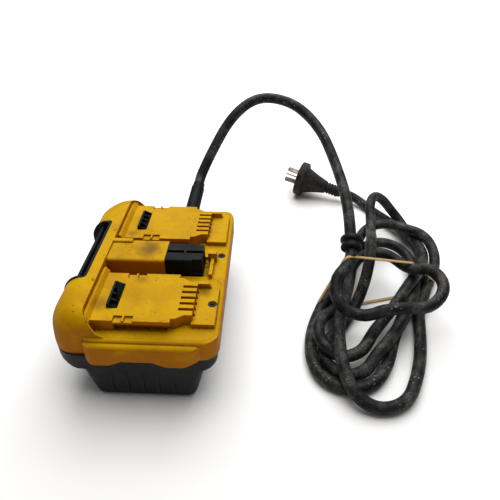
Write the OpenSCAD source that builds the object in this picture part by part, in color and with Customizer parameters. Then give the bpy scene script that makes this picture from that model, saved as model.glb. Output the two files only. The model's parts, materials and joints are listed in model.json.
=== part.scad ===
// Twin-platform mains adapter for cordless tools: two battery-shaped slide
// platforms on one housing, a centre power connector and a wound mains lead.
// Frame: origin under the middle of the housing on the surface it stands on,
// +X from the release paddle towards the terminals, +Z up, millimetres.

/* [Housing] */
// Length of the housing, paddle side to terminal side
body_len = 131; // [128:1:140]
// Width of the housing over the side bumpers
body_w = 202; // [198:1:210]
// Height of the two battery platforms
platform_h = 80; // [78:0.5:84]
// Rise of the front hood above the platforms
hood_rise = 8; // [6:0.5:10]
// Length of the front hood, front face to platform
hood_len = 29; // [28:0.5:32]
// Width of the front hood
hood_w = 188; // [182:1:189]
// Height of the parting line along the sides and rear
part_h = 50; // [48:0.5:52]
// Height of the parting line under the front hood
hood_part_h = 41; // [38:0.5:44]
// Thickness of the moulded walls
wall = 3; // [2.5:0.1:3.5]
// How far the side bumpers stand out
bumper_out = 4.5; // [3:0.5:6]
// Length of the side bumpers
bumper_len = 98; // [90:1:102]
// Width of the finger recess in the hood
recess_w = 88; // [80:1:96]

/* [Tub] */
// Length of the tub at its top
tub_top_len = 98; // [92:1:102]
// Length of the tub at its foot
tub_foot_len = 86; // [80:1:90]
// How far the tub lies behind the front of the housing
tub_setback = 20.5; // [18:0.5:24]
// Height of the underside of the front and rear shelves
shelf_h = 25; // [22:0.5:28]
// Radius along the foot of the tub
foot_r = 4; // [4:0.5:8]
// Height of the shallow ribs on the tub sides
rib_out = 0.7; // [0.4:0.1:1]
// Spacing of the shallow ribs on the tub sides
rib_pitch = 13; // [10:0.5:15]

/* [Platforms] */
// Distance between the middles of the two platforms
platform_pitch = 112; // [110:1:116]
// Length of a platform, front wall to terminal end
platform_len = 80; // [78:0.5:84]
// Width over the rail flanges
flange_w = 58.6; // [57:0.2:60]
// Length of the rail flanges
flange_len = 63.5; // [60:0.5:66]
// Thickness of the rail flanges
flange_t = 4; // [3.5:0.1:4.5]
// Height of the groove under the flanges
rail_gap = 7; // [6:0.5:8]
// Width of the neck under the flanges
neck_w = 50; // [48:0.5:52]
// Width of the terminal end
terminal_w = 41; // [40:0.5:44]
// Number of terminal slots
slots = 5; // [3:1:5]
// Spacing of the terminal slots
slot_pitch = 6.9; // [6.5:0.1:7.2]
// Width of a terminal slot
slot_w = 2.8; // [2.2:0.1:3.2]
// Length of a terminal slot
slot_len = 12; // [10:0.5:13]

/* [Release] */
// Width of a latch
latch_w = 29.4; // [26:0.2:32]
// Length of a latch along the rails
latch_len = 8.4; // [7:0.2:10]
// How far a latch stands above its platform
latch_rise = 3.6; // [3:0.1:3.8]
// Distance from the platform's front wall to the latch window
latch_set = 9.5; // [8:0.5:11]
// Gap at each end of the release paddle
paddle_gap = 1.2; // [0.8:0.1:2]
// Diameter of the paddle pivot pin
pivot_d = 4; // [3:0.5:5]
// Height of the paddle pivot
pivot_h = 50; // [48:0.5:51]

/* [Connector] */
// Length of the power connector
con_len = 33; // [30:0.5:34]
// Width of the power connector
con_w = 26.5; // [24:0.5:28]
// Rise of the power connector and bar above the platforms
con_rise = 6; // [5:0.5:7]
// Width of the connector's slot
con_slot = 3.5; // [3:0.1:4.5]
// Width of the centre bar
bar_w = 31; // [30:0.5:33]

/* [Lead] */
// Diameter of the rubber mains lead
cord_d = 10.5; // [9:0.1:11]
// Length of the strain relief boot outside the housing
boot_len = 42; // [30:1:50]
// Diameter of the plug's face
plug_d = 48; // [44:0.5:50]
// Length of the plug with its ribbed neck
plug_len = 62; // [58:1:66]

/* [Fits] */
// Gap between fixed mouldings
fit = 0.2; // [0.1:0.05:0.3]
// Gap round moving pieces
run_fit = 0.3; // [0.25:0.05:0.4]
// Radial clearance of a pin in its bore
pin_fit = 0.05; // [0.02:0.01:0.08]

/* [Hidden] */
$fn = 48;

// Main planes of the housing
front_x = -body_len / 2;
rear_x = body_len / 2;
rim_h = platform_h + hood_rise;
deck_h = platform_h - flange_t - rail_gap;
side_y = body_w / 2 - bumper_out;
plat_x = front_x + hood_len;
lip_len = 5;
rim_x = plat_x - lip_len;
step_x = rim_x - 2.5;
plate_t = 4;
plate_seat_h = deck_h - plate_t;
roof_t = 3;
roof_h = plate_seat_h - roof_t;
seat_w = 2;
side_lip = wall + 0.5;
plate_rear_x = rear_x - side_lip;
bar_web = 3.5;
plate_in_y = bar_w / 2 + bar_web;
plate_out_y = side_y - side_lip;
plate_r = 9;
sweep_r = 15;
hood_r = 10;
hood_top_r = 16;
main_r = 14;
hood_front_r = 10;
deck_edge_r = 3;

// Tub
tub_x = front_x + tub_setback;
tub_taper = (tub_top_len - tub_foot_len) / 2;
shelf_rear_x = rear_x - 2;
tub_side_y = side_y - 0.5;
tub_draft_y = 1;
tub_r = 12;
tub_fn = 24;
floor_t = 4;
shelf_r = 9;
ribs = 5;
rib_w = 3;

// Platform stations along X
notch_x = plat_x + 18;
notch_len = 7;
notch_gap = 1.8;
notch_in = 6;
notch_deep = 2;
solid_len = 18;
shoulder_x = plat_x + flange_len + 3.5;
shoulder_len = 6.5;
term_x = plat_x + platform_len;
rear_deck_h = deck_h + 4.5;
rear_deck_in = 24;
fence_y = 19;
fence_t = 3;
fence_len = 11.5;
head_wall = 3;
lip_rise = 4;
slot_floor_h = deck_h + 2;

// Latch and paddle mechanism
latch_x = plat_x + latch_set;
latch_mid_x = latch_x + run_fit + latch_len / 2;
latch_ear = 2.6;
latch_ear_t = 4.5;
latch_pockets = 4;
arm_tip_r = 5;
arm_top_h = roof_h - 1;
arm_w = 10;
arm_foot_h = arm_top_h - 2 * arm_tip_r;
stem_len = 5;
stem_w = 12;
pivot_x = front_x + 13.5;
hub_r = pivot_d / 2 + 3;
hub_half = platform_pitch / 2 + 7.7;
post_t = 4;
recess_x = front_x + 15;
recess_floor_h = pivot_h + hub_r + 3.5;
recess_floor_t = 2;
bezel_t = 2.6;
paddle_x = front_x + 3.5;
paddle_w = recess_w - 2 * (bezel_t + fit + paddle_gap);
paddle_t = 3.4;
paddle_top_h = platform_h + 3;
spring_d = 8;
spring_wire = 1;
spring_turns = 5;
spring_seat_h = arm_foot_h - 15;

// Connector and its pocket
con_x = term_x - con_len + 0.5;
con_y = -1.2;
con_top_h = platform_h + con_rise;
con_flange = 2;
con_flange_t = 3;
con_bridge_len = 2;
con_bridge_x = con_x + (con_len - con_bridge_len) / 2;
pocket_deep = 3;
bar_end_x = con_x - 0.5;

// Fasteners
screw_d = 3.2;
screw_head_d = 7;
boss_r = 4.5;
boss_xs = [-26, 35];
boss_y = 78;
counterbore_h = 26;
deck_screw_at = [[term_x + 14, -platform_pitch / 2, rear_deck_h],
          [term_x + 15, plate_in_y - 3, deck_h]];

// Circuit board and what stands on it
board_h = floor_t + 6;
board_t = 1.6;
board_x = [-12, 40];
clamp_y = side_y - 19.5;
board_half = 70;
board_y = [-board_half, min(board_half, clamp_y - 7)];
board_top = board_h + board_t;
post_in = 4;
board_posts = [for (x = [-8, 35], y = [board_y[0] + post_in, board_y[1] - post_in]) [x, y]];
sink_y = board_y[1] - 39;
rectifier_t = 4.6;
capacitor_d = 22;
capacitor_pitch = 24;
capacitor_y = board_y[0] + 19;
capacitor_end_y = capacitor_y + capacitor_pitch + capacitor_d / 2;
choke_y = (capacitor_end_y + sink_y - rectifier_t) / 2;
relay_half = 14;
chassis_t = 2;
post_d = 7;
board_screw_d = 2.6;

// Cord gland and clamp
gland_x = 16;
gland_h = part_h + 7.5;
boot_flange_d = 19;
boot_flange_t = 3;
boot_neck_d = cord_d + 2.5;
boot_root_d = 15.5;
boot_tip_d = cord_d + 3;
boot_up = 29;
boot_aside = 9.5;
clamp_w = 8;
clamp_half = 13;
clamp_wall = 1.8;
clamp_foot_t = 3;
clamp_screw_d = 2.6;
clamp_screw_at = 10;
clamp_foot_h = gland_h - cord_d / 2;
sheath_end_y = clamp_y - 5;
terminal_top = board_top + 12;

// Route of the lead, boot tip to plug, points chosen along the wound cord
boot_dir = [sin(boot_aside) * cos(boot_up), cos(boot_aside) * cos(boot_up), sin(boot_up)];
boot_root = [gland_x, body_w / 2 + boot_flange_t - 1, gland_h];
boot_tip = boot_root + boot_dir * boot_len;
lead_points = [
  boot_tip, boot_tip + boot_dir * 12,
  [37, 170, 107], [56, 191, 134], [76, 204, 149], [98, 211, 154], [120, 206, 151],
  [139, 195, 144], [156, 175, 133], [169, 144, 118], [178, 111, 103], [183, 80, 90],
  [185, 58, 79], [185, 40, 70], [181, 20, 60], [174, 6, 50]
];
hank_h = 53;
hank_foot = 1.5;
hank_knots = [[173, -72, 36], [210, -80, 40], [250, -10, 36], [262, 110, 36], [240, 170, 36],
          [205, 120, 30], [176, -20, 36]];
collar_at = 13;
plug_dir = [-0.93, 0.33, 0.17];
plug_turn = 121;
plug_rim_at = plug_len - 3.5;
plug_neck_end = [201, 238, plug_d / 2 * cos(asin(plug_dir.z)) - plug_dir.z * plug_rim_at + 0.05];
tail_bend = plug_neck_end - 24 * plug_dir;
tail_points = [[238, 205, 6], [tail_bend.x, tail_bend.y, max(tail_bend.z, cord_d / 2 + 0.3)],
          plug_neck_end];
band_start = [160, 2];
band_turn = 19.4;
band_w = 5;
band_t = 1;
band_low = cord_d / 2 + band_t + fit + 0.1;
band_knots = [[-7, band_low], [16.5, 55.5], [106, 41], [116, 10], [112, band_low]];
cord_sides = 10;

// Generic profile helpers

// Rounded rectangle from corner a to corner b
module rounded(a, b, r) {
  translate([a.x + r, a.y]) square([b.x - a.x - 2 * r, b.y - a.y]);
  translate([a.x, a.y + r]) square([b.x - a.x, b.y - a.y - 2 * r]);
  for (x = [a.x + r, b.x - r], y = [a.y + r, b.y - r]) translate([x, y]) circle(r);
}

// Rectangle from corner a to corner b with only its upper corners rounded
module round_top(a, b, r) {
  translate(a) square([b.x - a.x, b.y - a.y - r]);
  translate([a.x + r, a.y]) square([b.x - a.x - 2 * r, b.y - a.y]);
  for (x = [a.x + r, b.x - r]) translate([x, b.y - r]) circle(r);
}

// Rectangle from corner a to corner b with only its lower corners rounded
module round_foot(a, b, r) {
  translate([a.x, a.y + r]) square([b.x - a.x, b.y - a.y - r]);
  translate([a.x + r, a.y]) square([b.x - a.x - 2 * r, b.y - a.y]);
  for (x = [a.x + r, b.x - r]) translate([x, a.y + r]) circle(r);
}

// Extrudes an XZ profile along Y, centred
module along_y(w) {
  rotate([90, 0, 0]) linear_extrude(w, center = true) children();
}

// Extrudes a YZ profile along +X from x
module along_x(x, l) {
  translate([x, 0, 0]) rotate([90, 0, 90]) linear_extrude(l) children();
}

// Box from corner a to corner b
module span(a, b) {
  translate(a) cube(b - a);
}

// Cylinder along +Y from point a
module rod_y(a, d, l) {
  translate(a) rotate([-90, 0, 0]) cylinder(d = d, h = l);
}

// Unit vector along v
function unit(v) = v / norm(v);

// Tangent of a polyline at point i
function tangent(p, i) = unit(p[min(i + 1, len(p) - 1)] - p[max(i - 1, 0)]);

// Ring of n points of diameter d round point i of a polyline
function ring(p, i, d, n) =
  let (t = tangent(p, i), s = unit(cross([0.02, 0.01, 1], t)), u = cross(t, s))
  [for (k = [0:n - 1]) p[i] + d / 2 * (s * cos(360 * k / n) + u * sin(360 * k / n))];

// Closed tube swept along a polyline
module tube(p, d, n) {
  m = len(p);
  points = [for (i = [0:m - 1]) each ring(p, i, d, n)];
  sides = [for (i = [0:m - 2], k = [0:n - 1])
    [i * n + k, i * n + (k + 1) % n, (i + 1) * n + (k + 1) % n, (i + 1) * n + k]];
  start = [for (k = [n - 1:-1:0]) k];
  end = [for (k = [0:n - 1]) (m - 1) * n + k];
  polyhedron(points, concat(sides, [start], [end]), convexity = 6);
}

// Turns an upright shape to point along direction v from point p
module aim(p, v) {
  d = unit(v);
  translate(p) rotate([0, acos(d.z), atan2(d.y, d.x)]) children();
}

// Screw with its head on the plane z = 0 and its shank below
module screw(head_d, head_t, shank_d, l) {
  difference() {
    cylinder(d = head_d, h = head_t);
    translate([0, 0, head_t * 0.4]) cylinder(d = head_d * 0.5, h = head_t, $fn = 6);
  }
  translate([0, 0, -l]) cylinder(d = shank_d, h = l);
}

// Housing forms

// Plan of the housing, drawn in by e all round
module body_plan(e, rear) {
  rounded([front_x + e, -hood_w / 2 + e], [0, hood_w / 2 - e], hood_r - min(e, hood_r / 2));
  rounded([step_x - 3 + e, -side_y + e], [rear - e, side_y - e], main_r - min(e, main_r / 2));
}

// Opening that holds a battery head, drawn in by e all round
module head_plan(s, e) {
  y0 = s > 0 ? plate_in_y : -plate_out_y;
  y1 = s > 0 ? plate_out_y : -plate_in_y;
  corner = [rim_x + fit + sweep_r, s > 0 ? y1 - sweep_r : y0 + sweep_r];
  difference() {
    rounded([rim_x + fit + e, y0 + e], [plate_rear_x - e, y1 - e], plate_r - max(e, 0) / 2);
    translate([corner.x - 2 * sweep_r, corner.y - (s > 0 ? 0 : 2 * sweep_r)]) difference() {
      square(2 * sweep_r);
      translate([2 * sweep_r, s > 0 ? 0 : 2 * sweep_r]) circle(sweep_r - e);
    }
  }
}

// Side view of the hood, grown by e at its front and top
module hood_profile(e) {
  translate([front_x + hood_front_r, hood_part_h])
    square([rim_x - front_x - hood_front_r, rim_h + e - hood_part_h]);
  translate([front_x - e, hood_part_h])
    square([hood_len - lip_len + e, rim_h - hood_front_r - hood_part_h]);
  translate([front_x + hood_front_r, rim_h - hood_front_r]) circle(hood_front_r + e);
}

// Front view of the hood, its two upper corners rounded
module hood_arch() {
  along_x(front_x - 1, body_len) round_top([-hood_w / 2, 0], [hood_w / 2, rim_h], hood_top_r);
}

module hood_form() {
  intersection() {
    translate([0, 0, hood_part_h]) linear_extrude(rim_h) body_plan(0, rear_x);
    along_y(body_w) difference() {
      hood_profile(0);
      translate([step_x, hood_part_h - 1]) square([hood_len, part_h - hood_part_h + 1]);
    }
    hood_arch();
  }
}

// Rim that sweeps from the hood round a platform's outer front corner down to the deck
module rim_sweep(s) {
  low = deck_h - deck_edge_r - 1;
  intersection() {
    along_y(body_w) polygon([
      [rim_x - 1, low], [rim_x - 1, rim_h], [rim_x, rim_h], [rim_x + sweep_r * 0.3, rim_h - 4],
      [rim_x + sweep_r * 0.75, deck_h + 4], [rim_x + sweep_r * 1.2, deck_h], [rim_x + sweep_r * 1.2, low]
    ]);
    hood_arch();
    translate([0, s > 0 ? hood_w / 2 - sweep_r : -hood_w / 2, 0])
      translate([rim_x - 1, 0, 0]) cube([2 * sweep_r, sweep_r, rim_h]);
  }
}

module deck_form() {
  intersection() {
    translate([0, 0, part_h]) linear_extrude(deck_h - part_h) body_plan(0, rear_x);
    along_y(body_w) difference() {
      translate([step_x - 3, 0]) square([rear_x - step_x + 3, deck_h]);
      translate([rear_x - deck_edge_r, deck_h - deck_edge_r]) difference() {
        square(2 * deck_edge_r);
        circle(deck_edge_r);
      }
    }
    along_x(step_x - 3, body_len) round_top([-side_y, 0], [side_y, deck_h], deck_edge_r);
  }
}

// Side bumper with soft ends and a lower edge that dips near both of them
module bumper(s) {
  x0 = plat_x - 8;
  x1 = x0 + bumper_len;
  top = deck_h - deck_edge_r;
  y_out = body_w / 2;
  intersection() {
    along_y(2 * body_w) {
      rounded([x0, part_h], [x1, top], 7);
      hull() {
        for (x = [8, 20]) translate([x0 + x, part_h + 2]) circle(7);
        translate([x0 + 34, part_h + 4]) circle(3);
      }
      hull() {
        for (x = [18, 28]) translate([x1 - x, part_h + 2]) circle(7);
        for (x = [7, 42]) translate([x1 - x, part_h + 5]) circle(4);
      }
    }
    linear_extrude(rim_h) rounded([x0, -y_out], [x1, y_out], 12);
    along_x(x0, bumper_len) round_top([-y_out, 0], [y_out, top], 4);
    difference() {
      translate([x0, s > 0 ? side_y - 6 : -y_out, 0]) cube([bumper_len, bumper_out + 6, rim_h]);
      translate([x0, -side_y, 0]) cube([bumper_len, 2 * side_y, part_h]);
    }
  }
}

// Hollow of the centre bar above height z, open below
module bar_hollow(z) {
  span([rim_x + wall, -bar_w / 2 + wall, z], [bar_end_x - wall, bar_w / 2 - wall, con_top_h - wall]);
}

// Centre bar with the raised rib along its far side, and the low frame behind the connector
module centre_bar() {
  rib_len = 18;
  rib_t = 5.6;
  frame_x = con_x + con_len + 6;
  color("#d9a514") {
    difference() {
      union() {
        along_x(rim_x, bar_end_x - rim_x) round_top([-bar_w / 2, deck_h], [bar_w / 2, con_top_h], 2.5);
        along_x(rim_x, rib_len) round_top([bar_w / 2 - rib_t, deck_h], [bar_w / 2, rim_h], 1.5);
      }
      bar_hollow(deck_h - 1);
    }
    span([frame_x, -plate_in_y + 1, deck_h], [frame_x + 3, 6, deck_h + 5]);
    span([frame_x - 3, 6, deck_h], [frame_x + 5, 12.5, platform_h - 1]);
  }
}

module top_bosses() {
  for (x = boss_xs, s = [-1, 1]) {
    translate([x, s * boss_y, part_h]) cylinder(r = boss_r, h = roof_h - part_h);
    y = s > 0 ? boss_y : -side_y + 1;
    span([x - 1.5, y, part_h], [x + 1.5, y + side_y - 1 - boss_y, roof_h]);
  }
  // Bosses that take the two deck screws
  head_screw = deck_screw_at[0];
  span([head_screw.x - boss_r, head_screw.y - boss_r, part_h + 6],
       [rear_x - wall + 0.5, head_screw.y + boss_r, plate_seat_h]);
  translate([deck_screw_at[1].x, deck_screw_at[1].y, part_h + 6])
    cylinder(r = boss_r - 0.5, h = roof_h - part_h - 5);
}

// Top moulding with its hood, before the two are parted at the rim
module top_shell() {
  cave_y = hood_w / 2 - wall - 2;
  difference() {
    union() {
      difference() {
        union() {
          hood_form();
          deck_form();
          for (s = [-1, 1]) {
            bumper(s);
            rim_sweep(s);
          }
        }
        // Main cavity under the roof and the hollow hood lobes
        translate([0, 0, hood_part_h - 1]) linear_extrude(roof_h - hood_part_h + 1) intersection() {
          body_plan(wall, rear_x);
          union() {
            translate([step_x, -body_w]) square([body_len, 2 * body_w]);
            for (s = [-1, 1])
              translate([front_x, s > 0 ? recess_w / 2 + wall : -body_w])
                square([body_len, body_w - recess_w / 2 - wall]);
          }
        }
        span([front_x + wall, -cave_y, hood_part_h - 1],
             [step_x + 1, cave_y, recess_floor_h - recess_floor_t]);
        for (s = [-1, 1])
          span([front_x + wall, s > 0 ? recess_w / 2 + wall : -cave_y, hood_part_h],
               [rim_x - wall, s > 0 ? cave_y : -recess_w / 2 - wall, platform_h]);
        // Seats and openings for the two battery heads
        for (s = [-1, 1]) {
          translate([0, 0, plate_seat_h]) linear_extrude(rim_h) head_plan(s, -fit);
          translate([0, 0, roof_h - 1]) linear_extrude(rim_h) head_plan(s, seat_w);
        }
      }
      top_bosses();
    }
    // Opening under the centre bar
    bar_hollow(roof_h - 1);
    // Finger recess and the floor slot for the paddle
    translate([0, 0, recess_floor_h]) linear_extrude(rim_h)
      rounded([front_x - 10, -recess_w / 2], [recess_x, recess_w / 2], 4);
    span([front_x + wall, -paddle_w / 2 - 1, hood_part_h],
         [recess_x - 3, paddle_w / 2 + 1, recess_floor_h + 1]);
    // Pocket and through hole of the power connector
    span([bar_end_x, con_y - con_w / 2 - 1.5, deck_h - pocket_deep],
         [con_x + con_len + 6, con_y + con_w / 2 + 1.5, rim_h]);
    span([con_x - fit, con_y - con_w / 2 - fit, roof_h - 1],
         [con_x + con_len + fit, con_y + con_w / 2 + fit, rim_h]);
    // Gland hole in the far wall
    rod_y([gland_x, side_y - wall - 4, gland_h], boot_neck_d + 2 * fit, bumper_out + wall + 5);
    // Housing screw pilots and the deck screw hole
    for (x = boss_xs, s = [-1, 1]) translate([x, s * boss_y, part_h - 1])
      cylinder(d = screw_d + 0.2, h = roof_h - part_h - 1);
    translate([deck_screw_at[1].x, deck_screw_at[1].y, deck_h]) {
      translate([0, 0, -2]) cylinder(d = screw_head_d + 0.6, h = 4);
      translate([0, 0, -20]) cylinder(d = screw_d + 0.2, h = 20);
    }
    translate([deck_screw_at[0].x, deck_screw_at[0].y, part_h + 5])
      cylinder(d = screw_d + 0.2, h = plate_seat_h - part_h);
  }
}

module hood_side() {
  span([front_x - 1, -body_w, 0], [rim_x, body_w, rim_h + 1]);
}

module top_housing() {
  color("#d9a514") difference() {
    top_shell();
    hood_side();
  }
}

module front_hood() {
  color("#d9a514") intersection() {
    top_shell();
    hood_side();
  }
}

// Tapered tub between its rounded foot and the parting line, drawn in by e
module tub_form(e, top) {
  foot_x = [tub_x + tub_taper + tub_r, tub_x + tub_top_len - tub_taper - tub_r];
  foot_y = tub_side_y - tub_draft_y - tub_r;
  hull() {
    for (x = foot_x, y = [-foot_y, foot_y]) translate([x, y, foot_r + e * (floor_t - wall) / wall])
      rotate_extrude($fn = tub_fn) intersection() {
        translate([max(tub_r - foot_r, 0), 0]) circle(foot_r - e, $fn = tub_fn);
        translate([0, -foot_r]) square(2 * foot_r + tub_r);
      }
    translate([0, 0, part_h - 1]) linear_extrude(top - part_h + 1)
      rounded([tub_x + e, -tub_side_y + e], [tub_x + tub_top_len - e, tub_side_y - e], tub_r - e,
              $fn = tub_fn);
  }
}

module shelf_form(e, top) {
  intersection() {
    linear_extrude(part_h + 1) body_plan(0.5 + e, shelf_rear_x);
    along_y(body_w) round_foot([front_x + e, shelf_h + e], [shelf_rear_x - e, top], shelf_r - e);
    along_x(-body_len, 2 * body_len) polygon([
      [-tub_side_y + tub_draft_y + e, 0], [tub_side_y - tub_draft_y - e, 0], [tub_side_y - e, part_h],
      [tub_side_y - e, part_h + 1], [-tub_side_y + e, part_h + 1], [-tub_side_y + e, part_h]
    ]);
  }
}

// Shallow upright ribs on the two long sides of the tub
module tub_ribs() {
  mid = tub_x + tub_top_len / 2;
  low = foot_r + 2;
  high = shelf_h + 14;
  foot = tub_side_y - tub_draft_y + rib_out;
  intersection() {
    along_x(-body_len, 2 * body_len) polygon([
      [-foot, low], [foot, low], [foot + tub_draft_y * (high - low) / part_h, high],
      [-foot - tub_draft_y * (high - low) / part_h, high]
    ]);
    for (i = [0:ribs - 1], s = [-1, 1]) {
      x = mid + (i - (ribs - 1) / 2) * rib_pitch;
      y = s > 0 ? foot - wall : -tub_side_y - wall;
      span([x - rib_w / 2, y, low], [x + rib_w / 2, y + tub_side_y + 2 * wall - foot, high]);
    }
  }
}

module bottom_posts() {
  for (x = boss_xs, s = [-1, 1]) translate([x, s * boss_y, 1]) cylinder(r = boss_r, h = part_h - 1);
  // Posts that hold the ends of the paddle pivot pin
  for (s = [-1, 1]) along_post(s > 0 ? hub_half + run_fit : -hub_half - run_fit - post_t);
}

// Plate on the tub's floor with the board posts, the spring towers and the cord pedestal
module chassis_plate() {
  mid_y = clamp_y + clamp_w / 2;
  low = floor_t;
  color("#3a3d41") difference() {
    union() {
      span([latch_mid_x - spring_d / 2 - 2, board_y[0] - 2, low],
           [board_x[1] - 1.5, board_y[1] + 2, low + chassis_t]);
      span([gland_x - clamp_half, board_y[1], low],
           [gland_x + clamp_half, mid_y + post_d / 2, low + chassis_t]);
      for (p = board_posts) translate([p.x, p.y, low]) cylinder(d = post_d, h = board_h - low);
      for (s = [-1, 1]) translate([latch_mid_x, s * platform_pitch / 2, low]) {
        cylinder(d = spring_d + 2, h = spring_seat_h - low);
        cylinder(d = spring_d - 2 * spring_wire - 1, h = spring_seat_h + 3 - low);
      }
      // Pedestal under the cord clamp: two posts, a web and a saddle plate
      for (e = [-1, 1]) translate([gland_x + e * clamp_screw_at, mid_y, low])
        cylinder(d = post_d - 1, h = clamp_foot_h - low);
      span([gland_x - clamp_screw_at, mid_y - 1.5, low],
           [gland_x + clamp_screw_at, mid_y + 1.5, clamp_foot_h - 1]);
      span([gland_x - clamp_half, clamp_y, clamp_foot_h - 4],
           [gland_x + clamp_half, clamp_y + clamp_w, clamp_foot_h]);
    }
    for (p = board_posts) translate([p.x, p.y, low + 1]) cylinder(d = board_screw_d + 0.1, h = board_h);
    for (e = [-1, 1]) translate([gland_x + e * clamp_screw_at, mid_y, clamp_foot_h - 14])
      cylinder(d = clamp_screw_d + 0.1, h = 20);
  }
}

// One pivot post, with a rounded head round the pin
module along_post(y) {
  translate([0, y + post_t / 2, 0]) along_y(post_t) {
    translate([pivot_x - hub_r, shelf_h + 1]) square([2 * hub_r, pivot_h - shelf_h - 1]);
    translate([pivot_x, pivot_h]) circle(hub_r);
  }
}

module bottom_housing() {
  color("#26282b") difference() {
    union() {
      difference() {
        union() {
          tub_form(0, part_h);
          shelf_form(0, part_h);
          tub_ribs();
        }
        tub_form(wall, part_h + 1);
        shelf_form(wall, part_h + 1);
        span([front_x - 1, -body_w, hood_part_h], [step_x, body_w, part_h + 1]);
      }
      intersection() {
        bottom_posts();
        translate([front_x, -tub_side_y + 1, 0]) cube([body_len, 2 * tub_side_y - 2, rim_h]);
      }
    }
    for (x = boss_xs, s = [-1, 1]) translate([x, s * boss_y, -1]) {
      cylinder(d = screw_head_d + 0.6, h = counterbore_h + 1);
      cylinder(d = screw_d + 0.2, h = part_h + 2);
    }
    rod_y([pivot_x, -body_w / 2, pivot_h], pivot_d + 2 * pin_fit, body_w);
  }
}

// Battery heads

// Upper outline of a platform in its own Y
module neck_plan() {
  polygon([
    [plat_x, -neck_w / 2], [shoulder_x, -neck_w / 2], [shoulder_x + shoulder_len, -terminal_w / 2],
    [term_x, -terminal_w / 2], [term_x, terminal_w / 2], [shoulder_x + shoulder_len, terminal_w / 2],
    [shoulder_x, neck_w / 2], [plat_x, neck_w / 2]
  ]);
}

// Hollows of a head and its base plate
module head_cuts(s) {
  tail_x = term_x - slot_len + 3;
  translate([0, s * platform_pitch / 2, 0]) {
    // Hollow for the latch gear, open below
    span([plat_x + head_wall, -neck_w / 2 + head_wall, plate_seat_h - 1],
         [plat_x + flange_len, neck_w / 2 - head_wall, platform_h - head_wall]);
    // Latch window
    span([latch_x, -latch_w / 2 - run_fit, platform_h - head_wall - 1],
         [latch_x + latch_len + 2 * run_fit, latch_w / 2 + run_fit, platform_h + 1]);
    // Pairs of notches in both flange edges
    for (i = [0, 1], e = [-1, 1]) {
      x = notch_x + i * (notch_len + notch_gap);
      y = e > 0 ? flange_w / 2 - notch_in : -flange_w / 2 - 1;
      span([x, y, platform_h - notch_deep], [x + notch_len, y + notch_in + 1, platform_h + 1]);
    }
    // Terminal slots, each with a hole for its contact's tail
    for (i = [0:slots - 1]) translate([0, (i - (slots - 1) / 2) * slot_pitch, 0]) {
      span([term_x - slot_len, -slot_w / 2, slot_floor_h], [term_x + 1, slot_w / 2, platform_h + 1]);
      span([tail_x, -slot_w / 2, plate_seat_h - 1], [tail_x + 5, slot_w / 2, slot_floor_h + 1]);
    }
  }
  if (s < 0) translate([deck_screw_at[0].x, deck_screw_at[0].y, rear_deck_h]) {
    translate([0, 0, -2.5]) cylinder(d = screw_head_d + 0.6, h = 4);
    translate([0, 0, -20]) cylinder(d = screw_d + 0.3, h = 20);
  }
}

// Plate in the deck opening that carries a head
module base_plate(s) {
  color("#d9a514") difference() {
    translate([0, 0, plate_seat_h]) linear_extrude(plate_t) head_plan(s, 0);
    head_cuts(s);
  }
}

module near_base_plate() { base_plate(-1); }
module far_base_plate() { base_plate(1); }

// Sloping lip between the hood rim and the platform
module head_lip(s) {
  intersection() {
    translate([0, s * platform_pitch / 2, 0]) along_y(flange_w + 6) polygon([
      [rim_x + fit, deck_h], [rim_x + fit, platform_h + lip_rise],
      [rim_x + 2.5, platform_h + lip_rise],
      [plat_x + 0.5, platform_h], [plat_x + 0.5, deck_h]
    ]);
    linear_extrude(rim_h) head_plan(s, 0);
  }
}

// Neck, rail flanges and raised end deck of a head, in its own Y
module head_form(under) {
  translate([0, 0, deck_h]) linear_extrude(platform_h - deck_h) neck_plan();
  span([plat_x, -flange_w / 2, under], [plat_x + flange_len, flange_w / 2, platform_h]);
  span([plat_x, -flange_w / 2, deck_h], [plat_x + solid_len, flange_w / 2, platform_h]);
  // Raised end deck with a fence along its far side
  span([term_x - 1, -rear_deck_in, deck_h], [plate_rear_x - 0.5, fence_y + fence_t, rear_deck_h]);
  translate([0, fence_y + fence_t / 2, 0]) along_y(fence_t) polygon([
    [term_x - 1, deck_h], [term_x - 1, platform_h - 1], [term_x + fence_len - 2, platform_h - 1],
    [term_x + fence_len, rear_deck_h], [term_x + fence_len, deck_h]
  ]);
}

module battery_head(s) {
  under = platform_h - flange_t;
  color("#d9a514") difference() {
    union() {
      head_lip(s);
      translate([0, s * platform_pitch / 2, 0]) head_form(under);
    }
    head_cuts(s);
  }
}

module near_battery_head() { battery_head(-1); }
module far_battery_head() { battery_head(1); }

// Brass forks that stand in the terminal slots
module terminal_contacts(s) {
  t = slot_w - 1;
  color("#b08d3e") for (i = [0:slots - 1])
    translate([0, s * platform_pitch / 2 + (i - (slots - 1) / 2) * slot_pitch, 0]) {
      span([term_x - slot_len + 1.5, -t / 2, slot_floor_h], [term_x - 1.5, t / 2, platform_h - 2.5]);
      span([term_x - slot_len + 3.5, -t / 2, roof_h + fit],
           [term_x - slot_len + 7.5, t / 2, slot_floor_h + 1]);
    }
}

module near_terminal_contacts() { terminal_contacts(-1); }
module far_terminal_contacts() { terminal_contacts(1); }

// Release gear

// Lining of the finger recess, nearly flush with the hood
module grip_bezel() {
  color("#1c1d1f") intersection() {
    translate([0, 0, recess_floor_h]) linear_extrude(rim_h - 0.6 - recess_floor_h) difference() {
      rounded([front_x - 10, -recess_w / 2 + fit], [recess_x - fit, recess_w / 2 - fit], 4 - fit);
      rounded([front_x - 12, -recess_w / 2 + bezel_t + fit],
              [recess_x - bezel_t - fit, recess_w / 2 - bezel_t - fit], 2);
    }
    along_y(body_w) hood_profile(0.6);
  }
}

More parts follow.
